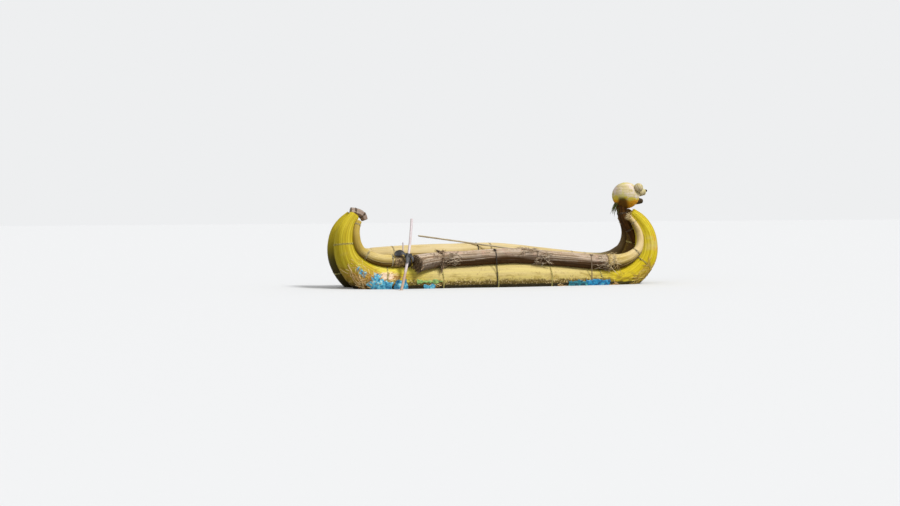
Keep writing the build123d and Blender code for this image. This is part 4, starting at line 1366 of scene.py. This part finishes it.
def stick(name, path, radius, material, seed, knots=(), around=14, waver=0.05, reference=(0, 1, 0),
          waist=None):
    """Round pole. knots are its (distance, angle, height), waist is a dip's (distance, width, depth)."""
    run = distances(path)
    _, across, up = ring_frames(path, reference)
    phases = np.random.default_rng(seed).uniform(0, 2 * math.pi, 6)
    angle = 2 * math.pi * np.arange(around) / around
    r = radius * (1 - waver * (0.6 + 0.4 * np.sin(run * 7 + phases[0]) * np.sin(run * 3.1 + phases[1])))
    r = r[:, None] * (1 - 0.5 * waver * (1 + np.sin(2 * angle + phases[2] + run[:, None] * 2)))
    for place, toward, height in knots:
        near = np.exp(-((run - place) / 0.018) ** 2)[:, None]
        r = r + height * near * np.clip(np.cos(angle - toward), 0, 1) ** 4
    if waist:
        place, width, depth = waist
        r = r - depth * np.exp(-((run - place) / width) ** 4)[:, None]
    end = np.minimum(run, run[-1] - run)[:, None]
    r = r * np.sqrt(np.clip(1 - (1 - np.clip(end / (radius * 0.6), 0, 1)) ** 2, 0.12, 1))
    ring = np.cos(angle)[:, None] * up[:, None] - np.sin(angle)[:, None] * across[:, None]
    return skin(name, (path[:, None] + r[..., None] * ring)[:, ::-1], run, material)


oar_wood = wood("oar_wood", (186, 170, 168), (238, 228, 232), (204, 178, 160))
pole_wood = wood("pole_wood", (150, 134, 106), (212, 198, 166), (176, 160, 134))
print("wood", oar_wood.name, pole_wood.name)

# %% [markdown]
# The shaft lies in a plane that leans outboard, square to the pin line it swings about. In that
# plane its line is two straight runs with an easy bend between them. The blade is a board with
# rounded corners and eased edges, bedded on the shaft's foot and lashed to it.

# %% Oar shaft and blade
PIVOT = np.array([-2.200, -0.731832, 0.689864])
OUT_LEAN = math.radians(35)
OAR_AXIS = np.array([0, -math.cos(OUT_LEAN), math.sin(OUT_LEAN)])
DOWN = np.array([0, -math.sin(OUT_LEAN), -math.cos(OUT_LEAN)])
AFT = np.array([-1.0, 0, 0])
UPPER_RAKE = math.tan(math.radians(14))
LOWER_RAKE = math.tan(math.radians(21))
OAR_RADIUS = 0.025
OAR_BEND = 0.260
OAR_UP = 0.930
OAR_DOWN = 1.130
BLADE_LENGTH = 0.245
BLADE_WIDTH = 0.150
BLADE_THICKNESS = 0.022
BLADE_CORNER = 0.045


def on_shaft(down):
    """Points on the shaft's axis at distances down from the pivot."""
    down = np.atleast_1d(down)[:, None]
    aft = ((UPPER_RAKE + LOWER_RAKE) / 2 * down
           + (LOWER_RAKE - UPPER_RAKE) / 2 * (np.hypot(down, OAR_BEND) - OAR_BEND))
    return PIVOT + DOWN * down + AFT * aft


def blade():
    start = on_shaft(OAR_DOWN - 0.010 - BLADE_LENGTH)[0]
    along = unit(on_shaft(OAR_DOWN)[0] - start)
    wide = np.cross(OAR_AXIS, along)
    origin = start + OAR_AXIS * (OAR_RADIUS - 0.002)
    far, side = BLADE_LENGTH - BLADE_CORNER, BLADE_WIDTH / 2 - BLADE_CORNER
    turns = [(x, y, math.radians(first + turn))
             for x, y, first in ((far, side, 0), (BLADE_CORNER, side, 90), (BLADE_CORNER, -side, 180),
                                 (far, -side, 270))
             for turn in np.linspace(0, 90, 8)]
    outline = np.array([(x + BLADE_CORNER * math.cos(a), y + BLADE_CORNER * math.sin(a))
                        for x, y, a in turns])
    middle = outline.mean(0)
    rings = []
    for inset, height in ((0.0, 0.0), (0.0, 0.3), (0.0, 0.75), (0.012, 0.93), (0.03, 1.0)):
        shrunk = middle + (outline - middle) * (1 - inset * 2)
        rings.append(origin + shrunk[:, :1] * along + shrunk[:, 1:] * wide
                     + OAR_AXIS * (BLADE_THICKNESS * height))
    return skin("oar_blade_wood", np.array(rings)[:, ::-1], np.linspace(0, 0.15, 5), oar_wood)


shaft_path = through(on_shaft(np.array([-OAR_UP, -OAR_BEND, 0, OAR_BEND, OAR_DOWN])), 120)
shaft = stick("oar_shaft_wood", shaft_path, OAR_RADIUS + 0.005, oar_wood, 80,
              [(0.35, 2.0, 0.004), (1.45, 4.4, 0.004)], reference=OAR_AXIS, waist=(0.965, 0.06, 0.0055))
placed(shaft, "oar_wood", "oar_shaft", body="oar")
placed(blade(), "oar_wood", "oar_blade", body="oar")
rope("oar_blade_lashings",
     lashings(on_shaft(np.linspace(OAR_DOWN - 0.26, OAR_DOWN, 60)), np.full(60, OAR_RADIUS * 0.97),
              (0.03, 0.22), 1, (0, 0, 1)), black_rope, "oar_wood", body="oar")

# %% [markdown]
# The peg is a thin stick pushed into the gunwale just aft of the oar. The loose pole keeps the CAD
# line: it lies on the middle seat, climbs over the port gunwale, touching it, and sticks out.

# %% Peg and loose pole
PEG_X = -2.260
PEG_RADIUS = 0.015
PEG_SINK = 0.120
PEG_RISE = 0.250
POLE_RADIUS = 0.019
POLE_LENGTH = 2.150


def peg():
    s = np.array([at_x(PEG_X)])
    size = rail_radius(s, STARBOARD)[0]
    foot = rail_centre(s, STARBOARD)[0] + (0, size * 0.35, size - PEG_SINK)
    path = foot + np.linspace(0, PEG_SINK + PEG_RISE, 40)[:, None] * np.array([0, 0, 1.0])
    return stick("peg_wood", path, PEG_RADIUS, oar_wood, 81, [(0.30, 1.0, 0.004)], around=10)


def loose_pole():
    seat, rail = np.array([at_x(SEATS["middle"])]), np.array([at_x(-0.450)])
    foot = np.array([column(0, seat)[0], 0.050, mat_top(seat)[0] + 2 * SEAT_RADIUS - PRESS + POLE_RADIUS])
    _, y, z = rail_centre(rail, PORT)[0] - foot
    reach = rail_radius(rail, PORT)[0] + POLE_RADIUS - 0.002
    across = math.hypot(y, z)
    climb = math.atan2(z, y) + math.asin(reach / across)
    run = math.sqrt(across ** 2 - reach ** 2)
    rest = np.array([column(0, rail)[0], foot[1] + run * math.cos(climb), foot[2] + run * math.sin(climb)])
    along = unit(rest - foot)
    path = foot - along * 0.120 + np.linspace(0, POLE_LENGTH, 90)[:, None] * along
    return stick("loose_pole_wood", path, POLE_RADIUS, pole_wood, 82, [(0.7, 0.5, 0.004), (1.5, 3.5, 0.003)],
                 around=12, waver=0.10)


placed(peg(), "oar_wood", "peg")
placed(loose_pole(), "pole_wood", "pole")

# %% [markdown]
# The oar turns in a strip of black rubber cut from an old tube. It goes several times round the
# gunwale, then round the shaft, and ends in a knot with a loose flap aft and a few tails below.
# Rubber strip is flat, so each turn is a ribbon: a line with a width direction beside it, given a
# thickness and soft edges. The turns cross each other at slightly different leans.

# %% Rubber strips
STRIP_WIDTH = 0.034
STRIP_THICKNESS = 0.004
STRIP_CROWN = 0.0015
STRIP_RINGS = 28


def rubber(name, dark, dust):
    """Matt rubber with grey dust and fine scuffs."""
    material, tree = new_material(name)
    scuff = cloud(object_place(tree), 55.0, 6.0, 0.75)
    dusty = times(ranged(scuff, 0.4, 0.65), blotches(tree, 9.0, 0.42, 0.7, seed=22.0))
    return finished(material, mixed(dusty, srgb(*dark), srgb(*dust)),
                    maths("MULTIPLY_ADD", scuff, 0.35, 0.35), scuff, 0.3, 0.001)


def ribbon(line, wide, width):
    """Flat strip along a line; wide is the direction of its width at each point."""
    wide = unit(np.broadcast_to(np.asarray(wide, float), line.shape))
    out = unit(np.cross(np.gradient(line, axis=0), wide))
    width = np.broadcast_to(np.asarray(width, float), len(line))[:, None]
    share = np.linspace(-0.5, 0.5, 5)
    top = [line + width * u * wide + out * (STRIP_THICKNESS / 2 + STRIP_CROWN * (1 - (2 * u) ** 2))
           for u in share]
    under = [line + width * u * wide - out * STRIP_THICKNESS / 2 for u in share[::-1]]
    return skin("strip", np.stack(top + under, 1), distances(line), black_rubber)


def merged(name, parts):
    """Joins finished strips into one piece."""
    whole = bmesh.new()
    for part in parts:
        whole.from_mesh(part.data)
        bpy.data.objects.remove(part)
    mesh = bpy.data.meshes.new(name)
    whole.to_mesh(mesh)
    whole.free()
    mesh.materials.append(black_rubber)
    mesh.shade_smooth()
    return add_object(name, mesh)


black_rubber = rubber("black_rubber", (24, 24, 26), (112, 110, 116))
print("rubber strips", STRIP_WIDTH, "m wide")

# %% [markdown]
# Six turns bind the gunwale. The loop is four turns of a narrower strip, long fore and aft so that
# the shaft can swing in it. The crossing strips, the flap and the tails are listed, each point as its
# distances aft, down and out from the pivot, and each strip with its widths.

# %% Rubber round the gunwale and the loop
BIND_S = np.array([at_x(PIVOT[0])])
BIND_CENTRE = rail_centre(BIND_S, STARBOARD)[0]
BIND_RADIUS = rail_radius(BIND_S, STARBOARD)[0]
BIND_ALONG = heading(BIND_S)[0]
BIND_OUT = np.array([0, -1.0, 0])
BIND_UP = np.cross(BIND_OUT, BIND_ALONG)
BIND_UP *= np.sign(BIND_UP[2])
LOOP_HALF = 0.0273
LOOP_RUN = 0.032
LOOP_STRIP = 0.020
GUNWALE_TURNS = [
    # place along the gunwale, lean, height above the reeds
    (-0.046, 0.004, 0.004), (-0.016, -0.008, 0.006), (0.018, 0.006, 0.004), (0.046, -0.004, 0.006),
    (0.0, 0.024, 0.0105), (0.004, -0.028, 0.0135),
]
LOOP_TURNS = [
    # height, growth, tilt
    (-0.012, 0.0, 0.002), (0.008, 0.0, -0.002), (-0.004, 0.005, 0.004), (0.004, 0.009, -0.005),
]
STRIPS = [
    # the flap, three crossing strips, three tails, a short end, the bow of the knot
    ([(0.055, 0.000, 0.034), (0.085, -0.020, 0.034), (0.150, -0.058, 0.034), (0.235, -0.052, 0.014),
      (0.300, -0.020, -0.001)], (0.036, 0.075, 0.135, 0.125, 0.030)),
    ([(0.070, -0.040, -0.025), (0.055, -0.028, 0.030), (0.000, -0.005, 0.040), (-0.055, 0.022, 0.034),
      (-0.072, 0.036, -0.025)], (0.034, 0.040, 0.042, 0.038, 0.034)),
    ([(0.082, 0.012, -0.025), (0.068, 0.012, 0.034), (0.000, 0.004, 0.048), (-0.060, -0.010, 0.038),
      (-0.080, -0.014, -0.025)], (0.026, 0.030, 0.040, 0.034, 0.026)),
    ([(0.072, 0.000, -0.020), (0.060, 0.000, 0.036), (0.000, 0.006, 0.054), (-0.058, 0.002, 0.038),
      (-0.072, 0.000, -0.020)], (0.026, 0.034, 0.050, 0.034, 0.026)),
    ([(0.100, -0.010, 0.030), (0.070, 0.040, 0.044), (0.030, 0.110, 0.048), (0.000, 0.175, 0.050)],
     (0.030, 0.036, 0.034, 0.010)),
    ([(0.004, -0.010, 0.056), (0.028, 0.050, 0.058), (0.054, 0.120, 0.052), (0.084, 0.215, 0.046)],
     (0.086, 0.112, 0.098, 0.026)),
    ([(-0.020, 0.000, 0.052), (-0.044, 0.050, 0.056), (-0.060, 0.110, 0.048), (-0.046, 0.190, 0.046)],
     (0.040, 0.050, 0.044, 0.008)),
    ([(-0.010, 0.020, 0.056), (-0.060, 0.060, 0.044), (-0.090, 0.130, 0.036)], (0.034, 0.036, 0.008)),
    ([(0.030, 0.030, 0.056), (0.000, 0.060, 0.072), (-0.034, 0.036, 0.066), (-0.020, 0.004, 0.058)],
     (0.030, 0.038, 0.038, 0.026)),
]


def gunwale_turn(offset, lean, reach):
    """One turn round the gunwale, shifted along it by lean as it goes round."""
    angle = np.linspace(0, 2 * math.pi, 64)
    radius = BIND_RADIUS + reach + 0.0008 * np.sin(3 * angle + offset * 90)
    line = (BIND_CENTRE + (offset + lean * np.cos(angle + 0.7))[:, None] * BIND_ALONG
            + (radius * np.cos(angle))[:, None] * BIND_OUT + (radius * np.sin(angle))[:, None] * BIND_UP)
    return ribbon(line, BIND_ALONG, STRIP_WIDTH)


def from_pivot(aft, down, out):
    return PIVOT + aft[:, None] * AFT + down[:, None] * DOWN + out[:, None] * OAR_AXIS


def loop_turn(height, grow, tilt):
    """One turn of the long loop round the shaft, square to the shaft's resting line."""
    half = LOOP_HALF + grow
    arc = np.linspace(-math.pi / 2, math.pi / 2, 20)
    aft = np.concatenate([LOOP_RUN + half * np.cos(arc), -LOOP_RUN - half * np.cos(arc)])
    out = np.concatenate([half * np.sin(arc), -half * np.sin(arc)])
    aft, out = np.append(aft, aft[0]), np.append(out, out[0])
    return ribbon(from_pivot(aft, height + tilt * out / half, out), DOWN, LOOP_STRIP)


def strip(points, widths):
    line = through(from_pivot(*np.array(points).T), STRIP_RINGS)
    spread = np.interp(np.linspace(0, 1, STRIP_RINGS), np.linspace(0, 1, len(widths)), widths)
    return ribbon(line, np.cross(OAR_AXIS, np.gradient(line, axis=0)), spread)


placed(merged("rubber_gunwale_turns", [gunwale_turn(*turn) for turn in GUNWALE_TURNS]), "black_rubber",
       "oar_binding")
placed(merged("rubber_loop", [loop_turn(*turn) for turn in LOOP_TURNS] + [strip(*row) for row in STRIPS]),
       "black_rubber", "oar_loop")

# %% [markdown]
# Just aft of the oar an old piece of brown net is wrapped round the gunwale, with a pale string
# beyond it. The wrap is one sheet laid round the top of the gunwale, wrinkled, open below, with
# ragged edges: a grid whose points are pushed out by ridged noise and one sine fold.

# %% Sheets that lie on round bundles
SHEET_RADIUS = 0.3


def crumple(a, b, scale, seed):
    """Repeatable crumpling, about -1 to 1, for arrays of distances in metres."""
    flat = [noise.ridged_multi_fractal(Vector((x * scale, y * scale, seed)), 1.0, 2.1, 4, 1.0, 2.0)
            for x, y in zip(np.ravel(a), np.ravel(b))]
    return np.clip(np.reshape(flat, np.shape(a)) * 0.8 - 1.1, -1, 1)


def lain(name, centre_of, radius_of, start, end, low, high, material, seed, lift, folds, ragged, step,
         thickness, scale):
    """Sheet laid on a starboard bundle from start to end and between two angles from outboard."""
    columns = max(int((end - start) / step), 8)
    rows = max(int(abs(math.radians(high - low)) * SHEET_RADIUS / step), 8)
    u, v = np.meshgrid(np.linspace(0, 1, columns), np.linspace(0, 1, rows), indexing="ij")
    edge = ragged * np.sin(u * 9 + seed) * 0.5 + ragged * crumple(u, u * 0 + seed, 6.0, seed)
    sides = ragged * np.sin(v * 7 + seed * 2) * 0.6 + ragged * crumple(v, v * 0 + 3, 6.0, seed + 4)
    s = start + (end - start) * u + sides * (2 * u - 1)
    radius = radius_of(s.ravel(), STARBOARD).reshape(s.shape)
    angle = np.radians(low + (high - low) * v) + edge / SHEET_RADIUS * (2 * v - 1)
    bump = (crumple(s, angle * radius, scale, seed) + 1) / 2
    reach = radius + lift + folds * (0.7 * bump + 0.3 * (0.5 + 0.5 * np.sin(s * 70 + angle * 5 + seed)))
    up = inward(s.ravel()).reshape(s.shape + (3,))
    points = (centre_of(s.ravel(), STARBOARD).reshape(s.shape + (3,))
              + up * (reach * np.sin(angle))[..., None])
    points[..., 1] += STARBOARD * reach * np.cos(angle)
    index = np.arange(columns * rows).reshape(columns, rows)
    quads = np.stack([index[:-1, :-1], index[1:, :-1], index[1:, 1:], index[:-1, 1:]], -1).reshape(-1, 4)
    uv = np.stack([s - start, angle * radius], -1).reshape(-1, 2)[quads]
    made = make_object(name, points.reshape(-1, 3), quads.tolist(), material, uv)
    area = sum(face.area for face in made.data.polygons)
    wall = made.modifiers.new("wall", "SOLIDIFY")
    wall.thickness = thickness
    wall.offset = 0
    bpy.context.view_layer.objects.active = made
    with bpy.context.temp_override(object=made, active_object=made):
        bpy.ops.object.modifier_apply(modifier="wall")
    print(name, "area", round(area, 4), "m2")
    return made, area


def netting(name, dark, pale):
    """Coarse woven or netted fabric, on the sheet's own map in metres."""
    material, tree = new_material(name)
    along, across, _ = split(node(tree, "ShaderNodeUVMap", uv_map="reed").outputs[0])
    warp, weft = (maths("SINE", times(place, 420.0)) for place in (along, across))
    thread = maths("MULTIPLY_ADD", times(warp, weft), 0.5, 0.5)
    colour = mixed(times(thread, 0.6), srgb(*dark), srgb(*pale))
    colour = mixed(times(blotches(tree, 26.0, 0.48, 0.58, seed=35.0), 0.5), colour, srgb(*pale))
    colour = mixed(times(blotches(tree, 20.0, 0.50, 0.58, seed=33.0), 0.85), colour, srgb(*dark))
    return finished(material, colour, maths("MULTIPLY_ADD", thread, 0.1, 0.8), thread, 0.5, 0.0015)


wrap, wrap_area = lain("gunwale_net_wrap", rail_centre, rail_radius, at_x(-2.500), at_x(-2.285), -75, 100,
                       netting("brown_net", (68, 42, 12), (216, 186, 134)), 3, lift=0.005, folds=0.012,
                       ragged=0.02, step=0.006, thickness=0.0012, scale=26.0)
placed(wrap, "dark_rope")
rope("gunwale_string", rail_lashings((at_x(-2.560),), STARBOARD, 0.995), pale_string, "reed_rope",
     rope_radius=0.006)

# %% [markdown]
# Blue plastic was laid under the reeds, and what is left of it shows at the waterline as torn,
# crinkled scraps. They replace the plain liners of the CAD model, and use the same sheet helper as
# the net. Thin plastic shines along its creases, so its roughness is low and its bump is sharp.

# %% Blue and green liner scraps
def plastic(name, deep, bright, pale):
    """Crinkled plastic sheet, faded in patches."""
    material, tree = new_material(name)
    place = object_place(tree)
    crease = node(tree, "ShaderNodeTexVoronoi", {"Vector": place, "Scale": 34.0},
                  feature="DISTANCE_TO_EDGE").outputs[0]
    faded = cloud(place, 16.0, 5.0)
    colour = mixed(ranged(faded, 0.36, 0.6), srgb(*deep), srgb(*bright))
    colour = mixed(ranged(faded, 0.58, 0.7), colour, srgb(*pale))
    # Towards each crease the colour runs half way to the deep colour: painted shade in the creases.
    colour = mixed(ranged(crease, 0.0, 0.06, 0.5, 0.0), colour, srgb(*deep))
    return finished(material, colour, maths("MULTIPLY_ADD", faded, 0.3, 0.2), crease, 0.7, 0.004)


blue_plastic = plastic("blue_plastic", (28, 112, 156), (104, 204, 230), (208, 242, 236))
bright_plastic = plastic("bright_plastic", (0, 74, 116), (14, 142, 192), (104, 188, 200))
teal_plastic = plastic("teal_plastic", (6, 66, 82), (30, 132, 148), (104, 184, 170))
green_plastic = plastic("green_plastic", (104, 140, 78), (166, 200, 104), (210, 228, 160))

SCRAPS = [
    # name, from X, to X, lowest and highest angle, raggedness, finish, the CAD node it replaces
    ("stern_wide", -3.010, -2.560, -34, 8, 0.028, blue_plastic, "hull_liner_stern"),
    ("stern_lobe", -2.990, -2.850, -10, 24, 0.020, blue_plastic),
    ("stern_fore", -2.520, -2.250, -32, 12, 0.028, blue_plastic),
    ("stern_chip", -3.270, -3.100, -14, 6, 0.010, blue_plastic),
    ("middle_blue", -1.880, -1.650, -32, -2, 0.028, blue_plastic, "hull_liner_middle"),
    ("middle_green", -2.040, -1.480, 2, 12, 0.028, green_plastic),
    ("bow_teal", 1.380, 1.870, -34, 8, 0.028, teal_plastic),
    ("bow_blue", 1.820, 2.400, -34, 15, 0.028, bright_plastic, "hull_liner_bow"),
]
for seed, (word, aft, fore, low, high, ragged, finish, *nodes) in enumerate(SCRAPS, 41):
    scrap, area = lain("liner_" + word, hull_centre, hull_radius, at_x(aft), at_x(fore), low, high, finish,
                       seed, lift=0.003, folds=0.016, ragged=ragged, step=0.009, thickness=0.001, scale=20.0)
    placed(scrap, "blue_liner", *nodes)

# %% [markdown]
# Old reeds come loose: they hang in a thatch at the stern, fray at every cut, and stand in a tuft on
# the bow gunwale. Each is a thin line that starts on its bundle, found either on the hull's surface
# or on a bundle's cut, and bends down under its weight. The third Geometry Nodes tree turns lines
# into stems, which taper, differ in thickness and each keep a random tone for the straw finish.

# %% Geometry Nodes: loose stems
FLOOR_CLEARANCE = 0.004

stems_tree, given = geometry_tree("loose_stems", [("Stem Radius", "Float", 0.0065), ("Seed", "Int", 1)])
tree = stems_tree
line = node(tree, "GeometryNodeMeshToCurve", {"Mesh": given["Geometry"]})
tone = random_value(tree, 0.0, 1.0, given["Seed"])
feed(tone.node.inputs["ID"], node(tree, "GeometryNodeInputIndex").outputs[0])
kept = node(tree, "GeometryNodeInputNamedAttribute", {"Name": "tone"}, data_type="FLOAT").outputs[0]
share = node(tree, "GeometryNodeSplineParameter").outputs["Factor"]
taper = maths("MULTIPLY_ADD", maths("POWER", share, 2.0), -0.65, 1.0)
thick = times(taper, maths("MULTIPLY_ADD", kept, 0.5, 0.75), given["Stem Radius"])
ring = node(tree, "GeometryNodeCurvePrimitiveCircle", {"Resolution": 5, "Radius": 1.0})
tubes = node(tree, "GeometryNodeCurveToMesh", {"Curve": stored(line.outputs[0], "tone", tone, "CURVE"),
                                               "Profile Curve": ring.outputs[0], "Scale": thick,
                                               "Fill Caps": True})
finish_tree(tree, given, tubes.outputs[0])


def above_floor(line):
    line[:, 2] = np.maximum(line[:, 2], FLOOR_CLEARANCE)
    return line


def bent(start, direction, length, sag, dice):
    """Line from start that sags and wavers a little."""
    t = np.linspace(0, 1, 8)[:, None]
    direction = unit(direction)
    sway = dice.normal(0, 0.06, 3) * t ** 2 * length
    return above_floor(start + direction * t * length + sway - np.array([0, 0, 1.0]) * sag * length * t ** 2)


def fan(path, radius, at_start, count, length, spread, sag, seed, low, toward=(0, 0, 0)):
    """Loose ends that leave the cut of a bundle, near its rim."""
    dice = np.random.default_rng(seed)
    end, out = end_and_out(path, at_start, 2)
    side = unit(np.cross(out, (0, 0, 1)))
    other = np.cross(side, out)
    lines = []
    for _ in range(count):
        angle = dice.uniform(0, 2 * math.pi)
        rim = math.cos(angle) * side + math.sin(angle) * other
        start = end - out * dice.uniform(0.02, 0.05) + rim * radius * math.sqrt(dice.uniform(low, 1.0))
        way = out + rim * dice.uniform(0, spread) + dice.normal(0, spread * 0.35, 3) + np.array(toward)
        lines.append(bent(start, way, length * dice.uniform(0.4, 1.0), sag * dice.uniform(0.3, 1.2), dice))
    return lines


def thatch(centre_of, radius_of, s_range, angles, count, length, tilt, lift, seed, stiff=False):
    """Stems that lie along a starboard bundle and lift off it at their ends, or stick out straight."""
    dice = np.random.default_rng(seed)
    lines = []
    t = np.linspace(0, 1, 8)
    for _ in range(count):
        way = math.radians(dice.normal(0, tilt)) + (math.pi if dice.random() < 0.5 else 0)
        reach = length * dice.uniform(0.35, 1.0)
        s = dice.uniform(*s_range) + reach * math.cos(way) * t
        radius = radius_of(s, STARBOARD)
        angle = math.radians(dice.uniform(*angles)) + reach * math.sin(way) * t / radius
        out = radius - 0.002 + lift * dice.uniform(0.1, 1.0) * t ** 2 + 0.003 * np.sin(t * 5)
        line = centre_of(s, STARBOARD) + inward(s) * (out * np.sin(angle))[:, None]
        line[:, 1] += STARBOARD * out * np.cos(angle)
        if stiff:
            outward = unit(line[0] - centre_of(s[:1], STARBOARD)[0])
            way = unit(line[1] - line[0]) + outward * dice.uniform(0.0, 0.45)
            line = bent(line[0], way, reach, 0.15, dice)
        lines.append(above_floor(line))
    return lines


print(stems_tree.name, "has", len(stems_tree.nodes), "nodes")

# %% [markdown]
# The straw is gathered by finish, and each row of a table is one place where reeds have come loose.
# The cuts of the repair bundles fray most, and the joint near the stern hangs in a dark mat. A few
# dark stems stick out under the back of the head.

# %% Frayed repair bundles and the back of the head
REPAIR_FRAY = [("aft", 60, 34), ("middle", 110, 60), ("fore", 60, 60)]
LOOSE_ON_REPAIRS = [
    # from X, to X, lowest and highest angle, count, lift, stiff
    (-1.42, -1.10, -50, 50, 60, 0.05, False), (0.30, 0.62, 30, 110, 70, 0.06, True),
    (0.70, 0.95, -50, 60, 50, 0.04, True), (2.05, 2.34, -60, 70, 60, 0.03, False),
]
REPAIR_RADIUS = 0.157

brown_straw = straw("brown_straw", (70, 44, 10), (204, 146, 54), (248, 222, 162))
olive_straw = straw("olive_straw", (34, 40, 18), (84, 92, 40), (132, 130, 70))
end_straw = straw("end_straw", (40, 26, 14), (96, 72, 48), (168, 144, 116))


def on_repairs(aft, fore, angles, count, length, tilt, lift, seed, stiff=False):
    return thatch(lambda s, side: on_hull(s, side, REPAIR_RADIUS, 20),
                  lambda s, side: np.full(np.shape(s), REPAIR_RADIUS),
                  (at_x(aft), at_x(fore)), angles, count, length, tilt, lift, seed, stiff)


def stems(name, lines, material, slot_name, **values):
    rope(name, lines, material, slot_name, tree=stems_tree, **values)


dark_lines, grey_lines = [], []
for word, aft_count, fore_count in REPAIR_FRAY:
    path, radii = repairs[word]
    lines = fan(path, radii[0], True, aft_count, 0.12, 0.5, 0.3, 90 + len(word), 0.6)
    (dark_lines if word == "aft" else grey_lines).extend(lines)
    grey_lines += fan(path, radii[-1], False, fore_count, 0.15, 0.55, 0.25, 95 + len(word), 0.6)
path, radii = repairs["middle"]
dark_lines += fan(path, radii[0], True, 110, 0.19, 0.4, 0.7, 98, 0.8, toward=(0.3, -0.5, -0.7))
for angles, count, length, seed in (((40, 115), 46, 0.12, 165), ((-75, -15), 90, 0.17, 166)):
    dark_lines += on_repairs(-1.52, -1.42, angles, count, length, 60, 0.06, seed)
for aft, fore, low, high, count, lift, stiff in LOOSE_ON_REPAIRS:
    grey_lines += on_repairs(aft, fore, (low, high), count, 0.15, 22, lift, 150 + count, stiff)
stems("straw_repair_ends", grey_lines, grey_straw, "weathered_reed", seed=2)
stems("straw_dark_ends", dark_lines, end_straw, "weathered_reed", stem_radius=0.008, seed=9)

nape_lines = []
dice = np.random.default_rng(170)
for _ in range(26):
    start, way = on_head(180 + dice.uniform(-50, 30), dice.uniform(-52, -30), -0.01)
    nape_lines.append(bent(start, way + (-0.1, 0, -0.9), dice.uniform(0.08, 0.2), 0.4, dice))
stems("straw_nape", nape_lines, olive_straw, "neck_reed", seed=10)

# %% [markdown]
# The hull sheds reeds too: brown ones hang as a thatch at the stern, golden ones at the bow, and
# short bits are caught along the waterline. The gunwales' cuts and the four tips fray, a tuft stands
# on the bow gunwale, and the mat is strewn with broken stems.

# %% Loose straw on the hull, the gunwales and the mat
WATERLINE_BITS = [
    # from X, to X, lowest and highest angle, count
    (1.100, 1.450, -26, -8, 26), (2.420, 2.640, -18, -2, 16), (-2.500, -2.240, -40, -18, 34),
    (-2.660, -2.300, 8, 34, 40), (-1.720, -1.500, -24, 0, 22),
]


def on_bundle(start, end, angles, count, length, tilt, lift, seed):
    return thatch(hull_centre, hull_radius, (start, end), angles, count, length, tilt, lift, seed)


stems("straw_stern_thatch",
      on_bundle(AXIS_KEYS[4] + 0.15, AXIS_KEYS[6] - 0.06, (-50, 28), 240, 0.20, 34, 0.030, 101),
      brown_straw, "hull_reed", stem_radius=0.008, seed=3)
stems("straw_bow_thatch",
      on_bundle(AXIS_KEYS[12] + 0.05, AXIS_KEYS[13] + 0.25, (-55, 0), 110, 0.16, 26, 0.024, 102),
      gold_straw, "hull_reed", seed=4)
stems("straw_waterline",
      [line for seed, (aft, fore, low, high, count) in enumerate(WATERLINE_BITS, 110)
       for line in on_bundle(at_x(aft), at_x(fore), (low, high), count, 0.12, 30, 0.016, seed)],
      brown_straw, "hull_reed", seed=5)

pale_lines = thatch(rail_centre, rail_radius, (at_x(2.36), at_x(2.68)), (-40, 70), 46, 0.26, 42, 0.03, 160,
                    stiff=True)
pale_lines += fan(rails["bow"], 0.048, False, 70, 0.17, 0.9, 0.3, 120, 0.0, toward=(-0.35, -0.1, 0.55))
pale_lines += fan(rails["bow"], 0.150, True, 40, 0.10, 0.4, 0.2, 121, 0.7)
pale_lines += fan(rails["stern"], 0.115, False, 30, 0.08, 0.4, 0.3, 122, 0.6)
stems("straw_gunwale_ends", pale_lines, pale_straw, "gunwale_reed", stem_radius=0.005, seed=6)

tips = []
for number, line in enumerate(hull_lines):
    tips += fan(line, 0.110, False, 26, 0.07, 0.4, 0.2, 130 + number, 0.3)
    tips += fan(line, 0.090, True, 16, 0.05, 0.4, 0.3, 132 + number, 0.3)
stems("straw_hull_tips", tips, gold_straw, "hull_reed", stem_radius=0.005, seed=7)

on_mat = []
dice = np.random.default_rng(140)
for _ in range(90):
    s = float(dice.uniform(at_x(-2.2), at_x(1.7)))
    x, y = column(0, s)[0], dice.uniform(-0.30, 0.22)
    turn = dice.normal(0, 0.6)
    reach = dice.uniform(0.05, 0.2) * np.array([math.cos(turn), math.sin(turn), 0])
    start = np.array([x, y, mat_top(np.array([s]))[0] + 0.004])
    on_mat.append(start + reach * np.linspace(0, 1, 5)[:, None])
stems("straw_on_mat", on_mat, pale_straw, "inner_reed", stem_radius=0.005, seed=8)
